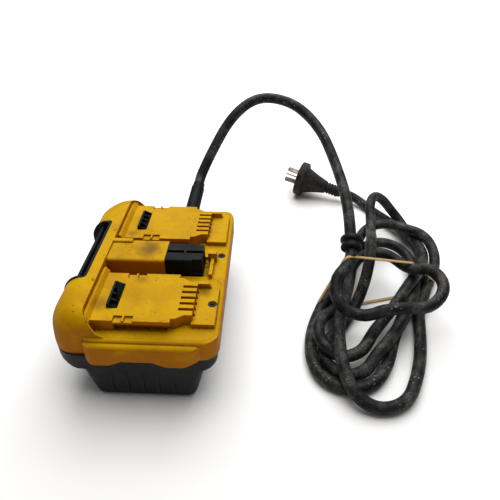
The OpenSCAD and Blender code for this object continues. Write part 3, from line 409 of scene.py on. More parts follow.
class Wardrobe:
    """Makes each finish once and puts it on pieces."""

    def __init__(self) -> None:
        """Start with no materials made."""
        self._made: dict[Finishes, bpy.types.Material] = {}

    def dress(self, piece: Piece, finish: Finishes) -> None:
        """Give a piece its finish.

        Args:
            piece: Mesh or curve to dress.
            finish: Which finish it takes.
        """
        if finish not in self._made:
            self._made[finish] = finish.value.make()
        piece.data.materials.clear()
        piece.data.materials.append(self._made[finish])
        LOG.info("dressed %s", piece.name)

    def seat(self, piece: Piece, finish: Finishes, *nodes: str) -> Piece:
        """Dress a piece made here and put it on the housing in place of CAD nodes.

        Args:
            piece: The new piece.
            finish: Which finish it takes.
            nodes: CAD nodes that it stands for.

        Returns:
            The same piece.
        """
        self.dress(piece, finish)
        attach(piece, HOUSING)
        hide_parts(*nodes)
        return piece


def new_mesh(name: str, built: bmesh.types.BMesh, smooth: bool = True) -> Piece:
    """Turn a bmesh into an object in the scene.

    Args:
        name: Name of the piece.
        built: Geometry in metres, freed here.
        smooth: Whether faces shade smooth.

    Returns:
        The new mesh object.
    """
    mesh = bpy.data.meshes.new(name)
    bmesh.ops.recalc_face_normals(built, faces=built.faces)
    built.to_mesh(mesh)
    built.free()
    mesh.polygons.foreach_set("use_smooth", [smooth] * len(mesh.polygons))
    piece = bpy.data.objects.new(name, mesh)
    bpy.context.scene.collection.objects.link(piece)
    return piece


def bridge_rings(
    built: bmesh.types.BMesh, rings: Sequence[Sequence[bmesh.types.BMVert]], closed: bool
) -> None:
    """Join rings of vertices with faces.

    Args:
        built: Geometry to add to.
        rings: Rings of equal length, in order.
        closed: Whether the last ring joins the first; otherwise the ends are capped.
    """
    pairs = list(zip(rings, rings[1:]))
    if closed:
        pairs.append((rings[-1], rings[0]))
    for a, b in pairs:
        for i in range(len(a)):
            j = (i + 1) % len(a)
            built.faces.new((a[i], a[j], b[j], b[i]))
    if not closed:
        built.faces.new(tuple(reversed(rings[0])))
        built.faces.new(tuple(rings[-1]))


def round_edges(piece: Piece, width_mm: float, crease_deg: float, segments: int, harden: bool = True) -> None:
    """Round the edges of a piece with a modifier.

    Args:
        piece: Mesh to round.
        width_mm: Width of the rounding.
        crease_deg: Edges that turn by more than this are rounded.
        segments: Steps across the rounding.
        harden: Whether flat faces keep their own shading.
    """
    rounding = piece.modifiers.new("edges", "BEVEL")
    rounding.width = width_mm * MM
    rounding.segments = segments
    rounding.limit_method = "ANGLE"
    rounding.angle_limit = math.radians(crease_deg)
    rounding.harden_normals = harden


def soften(piece: Piece, edge_mm: float) -> None:
    """Merge flat triangles, round the edges and shade smooth, leaving the mesh's own vertices alone.

    Args:
        piece: CAD node or moulding.
        edge_mm: Width of the rounding; none where zero.
    """
    piece.data.polygons.foreach_set("use_smooth", [True] * len(piece.data.polygons))
    weld = piece.modifiers.new("weld", "WELD")
    weld.merge_threshold = 0.0005 * MM
    flat = piece.modifiers.new("merge_flats", "DECIMATE")
    flat.decimate_type = "DISSOLVE"
    flat.angle_limit = math.radians(1.0)
    if edge_mm:
        round_edges(piece, edge_mm, crease_deg=26.0, segments=3)
    normals = piece.modifiers.new("normals", "WEIGHTED_NORMAL")
    normals.keep_sharp = True


@dataclass
class StudioCamera:
    """The camera at the photograph's angle, in the part's frame."""

    place_mm: Point = EYE_MM
    yaw_deg: float = -2.36
    pitch_deg: float = 36.84
    roll_deg: float = 0.18
    lens_mm: float = 35.3
    sensor_mm: float = 36.0
    reach_m: float = 20.0

    def build(self) -> None:
        """Create the camera and make it the scene's own."""
        data = bpy.data.cameras.new("studio_camera")
        data.lens = self.lens_mm
        data.sensor_width = self.sensor_mm
        data.clip_end = self.reach_m
        camera = bpy.data.objects.new("studio_camera", data)
        yaw, pitch, roll = (math.radians(a) for a in (self.yaw_deg, self.pitch_deg, self.roll_deg))
        ahead = Vector(
            (math.sin(yaw) * math.cos(pitch), math.cos(yaw) * math.cos(pitch), -math.sin(pitch))
        )
        turn = ahead.to_track_quat("-Z", "Y") @ Matrix.Rotation(roll, 4, "Z").to_quaternion()
        place = Matrix.Translation(Vector(self.place_mm) * MM)
        camera.matrix_world = place @ turn.to_matrix().to_4x4()
        bpy.context.scene.collection.objects.link(camera)
        bpy.context.scene.camera = camera
        LOG.info("set the camera")


@dataclass(frozen=True)
class Softbox:
    """Square area light, with its places and side in metres."""

    name: str
    place: Point
    aim: Point
    side: float
    watts: float

    def hang(self) -> None:
        """Hang the light and point it."""
        data = bpy.data.lights.new(self.name, "AREA")
        data.size = self.side
        data.energy = self.watts
        light = bpy.data.objects.new(self.name, data)
        light.location = self.place
        light.rotation_mode = "QUATERNION"
        light.rotation_quaternion = (Vector(self.aim) - Vector(self.place)).to_track_quat("-Z", "Y")
        bpy.context.scene.collection.objects.link(light)
        LOG.info("hung %s", self.name)


@dataclass
class Studio:
    """Pale floor and soft light."""

    floor_half_m: float = 6.0
    floor_drop_m: float = 0.0004
    floor_colour: str = "#f4f3f1"
    floor_rough: float = 0.9
    sky: str = "#ffffff"
    sky_strength: float = 0.18
    lights: tuple[Softbox, ...] = (
        Softbox("overhead_softbox", (0.15, 0.45, 1.6), (0.12, 0.2, 0.0), 1.7, 33.0),
        Softbox("backdrop_softbox", (0.1, 2.1, 1.3), (0.1, 2.0, 0.0), 2.2, 40.0),
    )

    def build(self) -> None:
        """Lay the floor, set the sky and hang the lights."""
        built = bmesh.new()
        bmesh.ops.create_grid(built, x_segments=1, y_segments=1, size=self.floor_half_m)
        floor = new_mesh("studio_floor", built, smooth=False)
        floor.location.z = -self.floor_drop_m
        material = bpy.data.materials.new("paper_backdrop_matt")
        material.use_nodes = True
        shader = material.node_tree.nodes["Principled BSDF"]
        shader.inputs["Base Color"].default_value = linear(self.floor_colour)
        shader.inputs["Roughness"].default_value = self.floor_rough
        floor.data.materials.append(material)
        LOG.info("laid the floor")
        world = bpy.data.worlds.new("studio_sky")
        world.use_nodes = True
        back = world.node_tree.nodes["Background"]
        back.inputs["Color"].default_value = linear(self.sky)
        back.inputs["Strength"].default_value = self.sky_strength
        bpy.context.scene.world = world
        bpy.context.scene.view_settings.view_transform = "Standard"
        for light in self.lights:
            light.hang()


class Stretch:
    """A stretch of the lead as listed points in millimetres, and how firmly they hold it."""

    def __init__(self, hold: float, *points: Point) -> None:
        """Keep the points and their hold."""
        self.hold, self.points = hold, points


@dataclass
class LeadRoute:
    """The line of the mains lead from its boot to the plug, settled so that no turn lies in another."""

    diameter_mm: float = 11.5
    boot_root: Point = (16.0, 103.0, 57.5)
    boot_up_deg: float = 29.0
    boot_aside_deg: float = 9.5
    boot_len_mm: float = 42.0
    start_in_boot_mm: float = 14.0
    plug_dir: Point = (-0.93, 0.33, 0.17)
    plug_neck: Point = (201.0, 238.0, 13.75)
    step_mm: float = 5.0
    # Radius that bends are opened to with the passes it gets, then each ripple's reach with its share
    bend_rounds: tuple[tuple[float, int], ...] = ((18.0, 70), (24.0, 90), (28.0, 120), (32.0, 160))
    ripple_rounds: tuple[tuple[int, float], ...] = ((1, 0.55), (3, 0.3), (5, 0.06))
    eye_mm: Point = EYE_MM
    lead_in_mm: float = 12.0
    tail_mm: float = 18.0
    arch_hold: float = 2.0
    tail_hold: float = 3.0
    floor_gap_mm: float = 0.15
    dense: int = 12
    fixed_start: int = 12
    fixed_end: int = 4
    sag_mm: float = 0.05
    # Turns are pushed to a little over a diameter apart, from this many steps along the line
    near_steps: int = 12
    clearance: float = 1.015
    # Pull towards the given points, shared out where many of them hold one place
    most_pull: float = 0.28
    pull_share: float = 0.9
    least_grip: float = 0.1
    # How much of a tight bend opens in one go, at its middle and at its ends
    open_shares: Flat = (0.35, 0.12)
    even_every: int = 10

    # Arch from the boot to the hank, then each turn of the hank in order
    arch: tuple[Point, ...] = (
        (37, 170, 107), (56, 191, 134), (76, 204, 149), (98, 211, 154), (120, 206, 151), (139, 195, 144),
        (156, 175, 133), (169, 144, 118), (178, 111, 103), (183, 80, 90),
    )
    turns: tuple[Stretch, ...] = (
        # Top loop, wound last and lying over the rest, with its two folds
        Stretch(1.0, (184, 35, 64), (181, 23, 59), (175, 8, 55)),
        Stretch(2.5, (168, -7, 50), (163, -18, 47), (168, -27, 45), (180, -30, 44)),
        Stretch(1.0, (193, -29, 44), (205, -28, 44), (219, -26, 44), (231, -22, 44), (244, -17, 43)),
        Stretch(3.0, (259, -11, 43), (272, 0, 42), (280, 11, 42), (279, 24, 41), (270, 30, 41)),
        Stretch(1.0, (259, 35, 40), (249, 43, 39), (239, 55, 37), (232, 68, 33), (226, 85, 29)),
        Stretch(
            0.45, (219, 96, 27), (211, 94, 27), (202, 77, 27), (194, 52, 27), (186, 26, 27), (178, 1, 28),
        ),
        # Large loop that reaches nearest the front
        Stretch(
            1.0, (172, -22, 29), (169, -41, 30), (168, -58, 30), (168, -72, 28), (171, -84, 25),
            (175, -94, 20), (182, -99, 13), (191, -103, 8), (200, -105, 6), (210, -103, 6), (220, -96, 6),
            (230, -83, 6), (238, -67, 6), (244, -50, 6), (249, -31, 6), (253, -12, 6), (257, 9, 6),
            (264, 30, 8), (273, 49, 11), (283, 67, 14), (289, 85, 17), (292, 104, 20), (287, 119, 22),
            (276, 132, 24), (261, 141, 24), (246, 149, 22), (232, 153, 19), (219, 139, 18),
        ),
        Stretch(0.3, (209, 114, 17), (197, 81, 17), (186, 55, 16)),
        # Left outer loop, then the long limb to the far peak
        Stretch(
            1.0, (173, 35, 13), (162, 19, 9), (153, 0, 6), (147, -23, 6), (145, -42, 6), (147, -58, 6),
            (153, -71, 6), (161, -81, 6), (173, -85, 6), (185, -85, 6), (196, -79, 6), (206, -68, 6),
            (215, -53, 6), (221, -36, 6),
        ),
        Stretch(0.4, (230, -14, 6), (243, 12, 6), (256, 35, 6), (267, 58, 6), (274, 82, 6)),
        Stretch(1.0, (279, 104, 6), (280, 126, 7), (276, 148, 8), (271, 174, 9), (263, 198, 11)),
        Stretch(3.0, (255, 221, 14), (246, 234, 18), (237, 222, 22)),
        Stretch(
            1.0, (232, 189, 26), (227, 154, 30), (221, 118, 34), (215, 81, 38), (211, 61, 37),
            (206, 43, 35), (201, 27, 32), (195, 12, 28), (188, -2, 23), (179, -14, 17),
        ),
        # Two inner turns, mostly under the others
        Stretch(
            1.0, (168, -30, 14), (159, -44, 10), (156, -57, 6), (160, -69, 6), (171, -76, 6), (182, -71, 7),
            (194, -60, 9), (207, -47, 12),
        ),
        Stretch(
            0.4, (220, -32, 15), (233, -13, 17), (246, 12, 17), (257, 38, 17), (261, 64, 17), (262, 90, 15),
            (259, 113, 12), (248, 126, 9), (236, 133, 7), (223, 133, 6), (210, 115, 6), (200, 88, 6),
            (188, 57, 6), (174, 28, 6),
        ),
        Stretch(
            0.8, (163, 3, 8), (155, -23, 12), (152, -46, 16), (157, -63, 18), (168, -67, 18),
            (180, -57, 18),
        ),
        Stretch(
            0.4, (191, -42, 18), (207, -23, 18), (224, -1, 19), (239, 21, 22), (253, 38, 28), (267, 62, 26),
            (278, 95, 19), (280, 129, 12), (272, 155, 8),
        ),
        # Tail that leaves the hank for the plug
        Stretch(1.0, (262, 174, 6), (253, 187, 6), (240, 205, 6)),
    )

    @property
    def boot_dir(self) -> np.ndarray:
        """Direction of the boot and of the lead in it."""
        up, aside = math.radians(self.boot_up_deg), math.radians(self.boot_aside_deg)
        return np.array([math.sin(aside) * math.cos(up), math.cos(aside) * math.cos(up), math.sin(up)])

    def hand_points(self) -> tuple[np.ndarray, np.ndarray, int]:
        """Gather the given points.

        Returns:
            The points, how firmly each holds the lead, and how many belong to the arch.
        """
        root, neck, out = np.array(self.boot_root), np.array(self.plug_neck), np.array(self.plug_dir)
        along = (self.start_in_boot_mm, self.boot_len_mm, self.boot_len_mm + self.lead_in_mm)
        start = [root + self.boot_dir * d for d in along]
        low = self.diameter_mm / 2 + 2 * self.floor_gap_mm
        tail = [np.array([x, y, max(z, low)]) for x, y, z in (neck - out * self.tail_mm, neck)]
        points = start + [np.array(p, float) for p in self.arch]
        arch_count = len(points)
        holds = [self.arch_hold] * arch_count
        for turn in self.turns:
            points += [np.array(p, float) for p in turn.points]
            holds += [turn.hold] * len(turn.points)
        return np.array(points + tail), np.array(holds + [self.tail_hold] * 2), arch_count

    def settle(self) -> np.ndarray:
        """Ease the line through the given points into one that a lead of this thickness can lie along.

        Each round pulls the line back to the sight lines of its given points, opens bends tighter
        than the round's limit, smooths it and pushes touching turns a diameter apart, above the floor.

        Returns:
            Points along the centreline, evenly spaced, in millimetres.
        """
        hand, holds, arch_count = self.hand_points()
        line = self._spline(hand, self.dense)
        count = int(np.linalg.norm(np.diff(line, axis=0), axis=1).sum() / self.step_mm) + 1
        line, marks = self._even(line, count, np.arange(len(hand)) * float(self.dense))
        eye = np.array(self.eye_mm)
        sight = hand - eye
        sight /= np.linalg.norm(sight, axis=1)[:, None]
        in_arch = np.arange(len(hand)) < arch_count
        free = np.ones((count, 1))
        free[: self.fixed_start] = 0
        free[-self.fixed_end :] = 0
        wide = np.exp(-0.5 * (np.arange(-6, 7) / 3.0) ** 2)
        narrow = np.array([0.25, 0.5, 1.0, 0.5, 0.25]) / 1.6
        sag = self.sag_mm * free[:, 0] * (np.arange(count) > marks[arch_count + 1])
        for limit, passes in self.bend_rounds:
            for number in range(passes):
                at = np.clip(np.round(marks).astype(int), 0, count - 1)
                off = line[at] - eye
                pull = (eye + (off * sight).sum(1)[:, None] * sight - line[at]) * holds[:, None]
                pull[in_arch] = hand[in_arch] - line[at][in_arch]
                shift, grip = np.zeros_like(line), np.zeros_like(line)
                np.add.at(shift, at, pull)
                np.add.at(grip, at, holds[:, None])
                grip = self._smear(grip, wide)
                share = np.minimum(self.most_pull, self.pull_share / np.maximum(grip, self.least_grip))
                line = line + self._smear(shift, wide) * share * free
                line = self._open_bends(line, limit, free)
                for reach, ease in self.ripple_rounds:
                    line = line + ease * self._ripple(line, reach) * free
                for _ in range(2):
                    line = line + self._smear(self._part(line), narrow) * free
                line[:, 2] = np.maximum(line[:, 2] - sag, self.diameter_mm / 2 + self.floor_gap_mm)
                if (number + 1) % self.even_every == 0:
                    line, marks = self._even(line, count, marks)
        return line

    def _part(self, line: np.ndarray) -> np.ndarray:
        """Find where turns lie in each other.

        Args:
            line: Points along the centreline.

        Returns:
            Shift of each point that moves such turns a diameter apart.
        """
        gap = self.diameter_mm * self.clearance
        apart = line[:, None, :] - line[None, :, :]
        square = (apart**2).sum(-1)
        one, two = np.where(np.triu(square < gap**2, k=self.near_steps))
        distance = np.sqrt(square[one, two])
        push = ((gap - distance) * 0.5 / np.maximum(distance, 0.5))[:, None] * apart[one, two]
        shift, hits = np.zeros_like(line), np.zeros(len(line))
        np.add.at(shift, one, push)
        np.add.at(shift, two, -push)
        np.add.at(hits, one, 1)
        np.add.at(hits, two, 1)
        return shift / np.maximum(hits, 1)[:, None]

    def _open_bends(self, line: np.ndarray, limit: float, free: np.ndarray) -> np.ndarray:
        """Open tight bends.

        Args:
            line: Points along the centreline, changed in place.
            limit: Radius under which a bend is tight.
            free: How freely each point moves.

        Returns:
            The same line.
        """
        middle, ends = self.open_shares
        for reach in (2, 4):
            mid = np.arange(reach, len(line) - reach)
            before, after = line[mid - reach], line[mid + reach]
            inward = (before + after) / 2 - line[mid]
            half = np.linalg.norm(after - before, axis=1) / 2
            rise = np.maximum(np.linalg.norm(inward, axis=1), 1e-6)
            tight = (half**2 + rise**2) / (2 * rise) < limit
            ease = np.where(tight, (rise - half**2 / (2 * limit)) / rise, 0)[:, None] * inward
            line[mid] += middle * ease * free[mid]
            for place in (mid - reach, mid + reach):
                np.add.at(line, place, -ends * ease * free[place])
        return line

    @staticmethod
    def _ripple(line: np.ndarray, reach: int) -> np.ndarray:
        """Find ripples a few steps long.

        Args:
            line: Points along the centreline.
            reach: Steps in a quarter of the ripple.

        Returns:
            Shift of each point that smooths them and leaves wide curves alone.
        """
        shift = np.zeros_like(line)
        mid = np.arange(2 * reach, len(line) - 2 * reach)
        ends = line[mid - 2 * reach] + line[mid + 2 * reach]
        shift[mid] = -(ends - 4 * (line[mid - reach] + line[mid + reach]) + 6 * line[mid]) / 16
        return shift

    @staticmethod
    def _smear(shift: np.ndarray, kernel: np.ndarray) -> np.ndarray:
        """Spread a shift along the line."""
        return np.array([np.convolve(shift[:, c], kernel, "same") for c in range(3)]).T

    @staticmethod
    def _spline(points: np.ndarray, dense: int) -> np.ndarray:
        """Draw a smooth line through points.

        Args:
            points: Places that the line passes.
            dense: Steps between each two of them.

        Returns:
            Points along the line.
        """
        held = np.vstack([2 * points[0] - points[1], points, 2 * points[-1] - points[-2]])
        t = np.linspace(0, 1, dense, endpoint=False)[:, None]
        spans = []
        for a, b, c, d in zip(held[:-3], held[1:-2], held[2:-1], held[3:]):
            bend, twist = 2 * a - 5 * b + 4 * c - d, 3 * b - a - 3 * c + d
            spans.append(0.5 * (2 * b + (c - a) * t + bend * t**2 + twist * t**3))
        return np.vstack([*spans, points[-1:]])

    @staticmethod
    def _even(line: np.ndarray, count: int, marks: np.ndarray) -> tuple[np.ndarray, np.ndarray]:
        """Space a line's points evenly.

        Args:
            line: Points along the line.
            count: How many points it gets.
            marks: Places on the line, counted in its points.

        Returns:
            The new points, and the marks counted in them.
        """
        steps = np.linalg.norm(np.diff(line, axis=0), axis=1)
        along = np.concatenate([[0.0], np.cumsum(steps)])
        even = np.linspace(0, along[-1], count)
        spaced = np.array([np.interp(even, along, line[:, c]) for c in range(3)]).T
        return spaced, np.interp(marks, np.arange(len(line)), along) / along[-1] * (count - 1)


@dataclass
class MainsLead:
    """Rubber mains lead drawn along its settled route."""

    wardrobe: Wardrobe
    route: LeadRoute = field(default_factory=LeadRoute)
    length_m: float = 3.0
    sides: int = 24
    line: np.ndarray = field(default_factory=lambda: np.zeros((0, 3)))

    def build(self) -> Piece:
        """Draw the lead along its settled line.

        Returns:
            The lead as a curve with a round section.
        """
        self.line = self.route.settle()
        data = bpy.data.curves.new("mains_lead", "CURVE")
        data.dimensions = "3D"
        data.bevel_depth = self.route.diameter_mm / 2 * MM
        data.bevel_resolution = self.sides // 4 - 1
        data.use_fill_caps = True
        spline = data.splines.new("POLY")
        spline.points.add(len(self.line) - 1)
        flat = np.hstack([self.line * MM, np.ones((len(self.line), 1))])
        spline.points.foreach_set("co", flat.ravel())
        spline.use_smooth = True
        lead = bpy.data.objects.new("mains_lead", data)
        bpy.context.scene.collection.objects.link(lead)
        LOG.info("lead of %.3f m", np.linalg.norm(np.diff(self.line, axis=0), axis=1).sum() * MM)
        return self.wardrobe.seat(lead, Finishes.RUBBER_SHEATH, "cord_lead", "cord_hank", "cord_tail")


@dataclass
class HankBand:
    """Rubber band pulled round every strand that crosses its plane."""

    wardrobe: Wardrobe
    line: np.ndarray
    strand_mm: float
    start_mm: Flat = (160.0, 16.0)
    end_mm: Flat = (285.0, 55.0)
    width_mm: float = 3.4
    thick_mm: float = 1.1
    arc_steps: int = 16
    step_mm: float = 2.5
    past_end_mm: float = 10.0
    floor_gap_mm: float = 0.1

    def build(self) -> Piece:
        """Wrap the band round the strands.

        Returns:
            The band as a closed strip.
        """
        start, end = np.array(self.start_mm), np.array(self.end_mm)
        span = np.linalg.norm(end - start)
        along = (end - start) / span
        across = np.array([-along[1], along[0]])
        side = (self.line[:, :2] - start) @ across
        reach = (self.line[:, :2] - start) @ along
        strands = []
        for i in np.where(side[:-1] * side[1:] < 0)[0]:
            t = side[i] / (side[i] - side[i + 1])
            place = reach[i] + t * (reach[i + 1] - reach[i])
            if 0.0 < place < span + self.past_end_mm:
                strands.append((place, self.line[i, 2] + t * (self.line[i + 1, 2] - self.line[i, 2])))
        radius = self.strand_mm / 2 + self.thick_mm / 2
        turns = [2 * math.pi * k / self.arc_steps for k in range(self.arc_steps)]
        rims = [(s + radius * math.cos(a), z + radius * math.sin(a)) for s, z in strands for a in turns]
        loop = self._taut(rims)
        half = Vector((across[0], across[1], 0)) * (self.width_mm / 2)
        thick = self.thick_mm / 2
        built = bmesh.new()
        rings = []
        for (s, z), (ns, nz) in loop:
            height = max(z, thick + self.floor_gap_mm)
            base = Vector((start[0] + along[0] * s, start[1] + along[1] * s, height))
            out = Vector((along[0] * ns, along[1] * ns, nz)) * thick
            corners = (base + half + out, base - half + out, base - half - out, base + half - out)
            rings.append([built.verts.new(c * MM) for c in corners])
        bridge_rings(built, rings, closed=True)
        band = new_mesh("hank_band_strip", built)
        round_edges(band, 0.3, crease_deg=50.0, segments=2, harden=False)
        return self.wardrobe.seat(band, Finishes.BAND_RUBBER, "hank_band")

    def _taut(self, points: Sequence[Flat]) -> list[tuple[Flat, Flat]]:
        """Shortest loop round a set of points.

        Args:
            points: Places in the band's plane.

        Returns:
            Evenly stepped places on the loop, each with its outward direction.
        """
        ordered = sorted(set(points))

        def chain(row: Iterable[Flat]) -> list[Flat]:
            """Keep the corners of one side.

            Args:
                row: Places in order.

            Returns:
                Those that the band touches, without the last.
            """
            kept: list[Flat] = []
            for p in row:
                while len(kept) > 1 and (
                    (kept[-1][0] - kept[-2][0]) * (p[1] - kept[-2][1])
                    - (kept[-1][1] - kept[-2][1]) * (p[0] - kept[-2][0])
                ) <= 0:
                    kept.pop()
                kept.append(p)
            return kept[:-1]

        corners = chain(ordered) + chain(reversed(ordered))
        loop = []
        for a, b in zip(corners, corners[1:] + corners[:1]):
            run = math.dist(a, b)
            pieces = max(1, round(run / self.step_mm))
            out = ((b[1] - a[1]) / run, -(b[0] - a[0]) / run)
            for k in range(pieces):
                t = k / pieces
                loop.append(((a[0] + t * (b[0] - a[0]), a[1] + t * (b[1] - a[1])), out))
        return loop


@dataclass
class PlugBody:
    """Moulded plug with a ribbed neck, drawn round the plug's axis."""

    wardrobe: Wardrobe
    neck: Point
    direction: Point
    length_mm: float = 62.0
    width_mm: float = 46.0
    neck_r_mm: float = 7.85
    rim_mm: float = 11.0
    rib_count: int = 4
    rib_start_mm: float = 5.0
    rib_pitch_mm: float = 4.0
    rib_deep_mm: float = 1.1
    sides: int = 64

    def outline(self) -> list[Flat]:
        """Half outline of the plug.

        Returns:
            Distances along the axis with the radius there, in millimetres.
        """
        r, end, n = self.width_mm / 2, self.length_mm, self.neck_r_mm
        points = [(0.0, n - 1.8), (0.4, n - 1.3), (3.0, n - 0.9)]
        for i in range(self.rib_count):
            z = self.rib_start_mm + i * self.rib_pitch_mm
            low = n - self.rib_deep_mm
            points += [(z, n), (z + 1.8, n), (z + 2.2, low), (z + 3.4, low)]
        z = self.rib_start_mm + self.rib_count * self.rib_pitch_mm
        points += [(z, n + 0.3), (z + 2.0, n + 1.0)]
        rim = end - self.rim_mm
        steps = 8
        for k in range(1, steps + 1):
            t = k / steps
            points.append((z + 2 + t * (rim - z - 2), n + 1 + (r - 5.0 - n - 1) * (0.72 * t + 0.28 * t * t)))
        points += [(rim + 0.5, r - 3.6), (rim + 1.0, r - 0.8), (rim + 1.8, r)]
        points += [(end - 1.4, r), (end - 0.5, r - 0.5), (end, r - 1.6)]
        return points

    def build(self) -> Piece:
        """Turn the outline into the plug.

        Returns:
            The plug body.
        """
        axis = Vector(self.direction).normalized()
        place = Matrix.Translation(Vector(self.neck) * MM) @ axis.to_track_quat("Z", "Y").to_matrix().to_4x4()
        built = bmesh.new()
        rings = []
        for z, r in self.outline():
            ring = []
            for k in range(self.sides):
                a = 2 * math.pi * k / self.sides
                ring.append(built.verts.new(place @ (Vector((r * math.cos(a), r * math.sin(a), z)) * MM)))
            rings.append(ring)
        bridge_rings(built, rings, closed=False)
        plug = new_mesh("plug_moulding", built)
        round_edges(plug, 0.35, crease_deg=28.0, segments=2)
        return self.wardrobe.seat(plug, Finishes.PLUG_RUBBER, "plug_body")


@dataclass(frozen=True)
class Outline:
    """Rounded rectangle at one height, in millimetres, with its own corner sizes at front and rear."""

    z: float
    front: float
    rear: float
    half_w: float
    front_corner: Flat
    rear_corner: Flat

    def points(self, steps: int) -> list[Vector]:
        """Places round the outline in metres, counter-clockwise from above.

        Args:
            steps: Steps in each corner.

        Returns:
            Four corners of steps + 1 places each.
        """
        (fx, fy), (rx, ry) = self.front_corner, self.rear_corner
        corners = (
            (self.rear - rx, -self.half_w + ry, rx, ry, -90.0),
            (self.rear - rx, self.half_w - ry, rx, ry, 0.0),
            (self.front + fx, self.half_w - fy, fx, fy, 90.0),
            (self.front + fx, -self.half_w + fy, fx, fy, 180.0),
        )
        places = []
        for x, y, a, b, start in corners:
            for k in range(steps + 1):
                turn = math.radians(start + 90.0 * k / steps)
                places.append(Vector((x + a * math.cos(turn), y + b * math.sin(turn), self.z)) * MM)
        return places


def loft(name: str, outlines: Sequence[Outline], steps: int = 10, open_top: bool = False) -> Piece:
    """Skin a stack of outlines.

    Args:
        name: Name of the piece.
        outlines: Outlines from the lowest up.
        steps: Steps in each corner.
        open_top: Whether the last outline stays open.

    Returns:
        The skinned mesh.
    """
    built = bmesh.new()
    rings = [[built.verts.new(p) for p in o.points(steps)] for o in outlines]
    bridge_rings(built, rings, closed=False)
    if open_top:
        built.faces.ensure_lookup_table()
        bmesh.ops.delete(built, geom=[built.faces[-1]], context="FACES_ONLY")
    return new_mesh(name, built)


class Cut(Enum):
    """What a cutter does to a piece."""

    AWAY = "DIFFERENCE"
    WITHIN = "INTERSECT"


def carve(piece: Piece, cutters: Sequence[Piece], cut: Cut = Cut.AWAY) -> None:
    """Cut a piece with others, which are then thrown away.

    Args:
        piece: Mesh to change.
        cutters: Closed meshes, in the order that they cut.
        cut: Whether what lies in the cutters goes or stays.
    """
    for cutter in cutters:
        change = piece.modifiers.new("cut", "BOOLEAN")
        change.object, change.operation, change.solver = cutter, cut.value, "EXACT"
    graph = bpy.context.evaluated_depsgraph_get()
    carved = bpy.data.meshes.new_from_object(piece.evaluated_get(graph))
    piece.modifiers.clear()
    piece.data = carved
    for cutter in cutters:
        bpy.data.objects.remove(cutter)


def block(low: Point, high: Point, corner: float = 0.05) -> Piece:
    """Upright block between two corners, to cut with or to join to a moulding.

    Args:
        low: Lowest corner in millimetres.
        high: Highest corner in millimetres.
        corner: Radius of the upright edges at the rear.

    Returns:
        The block's mesh.
    """
    half, mid = (high[1] - low[1]) / 2, (high[1] + low[1]) / 2
    sharp, rear = (0.05, 0.05), (corner, corner)
    ends = [Outline(z, low[0], high[0], half, sharp, rear) for z in (low[2], high[2])]
    piece = loft("block", ends, steps=6)
    piece.data.transform(Matrix.Translation((0, mid * MM, 0)))
    return piece


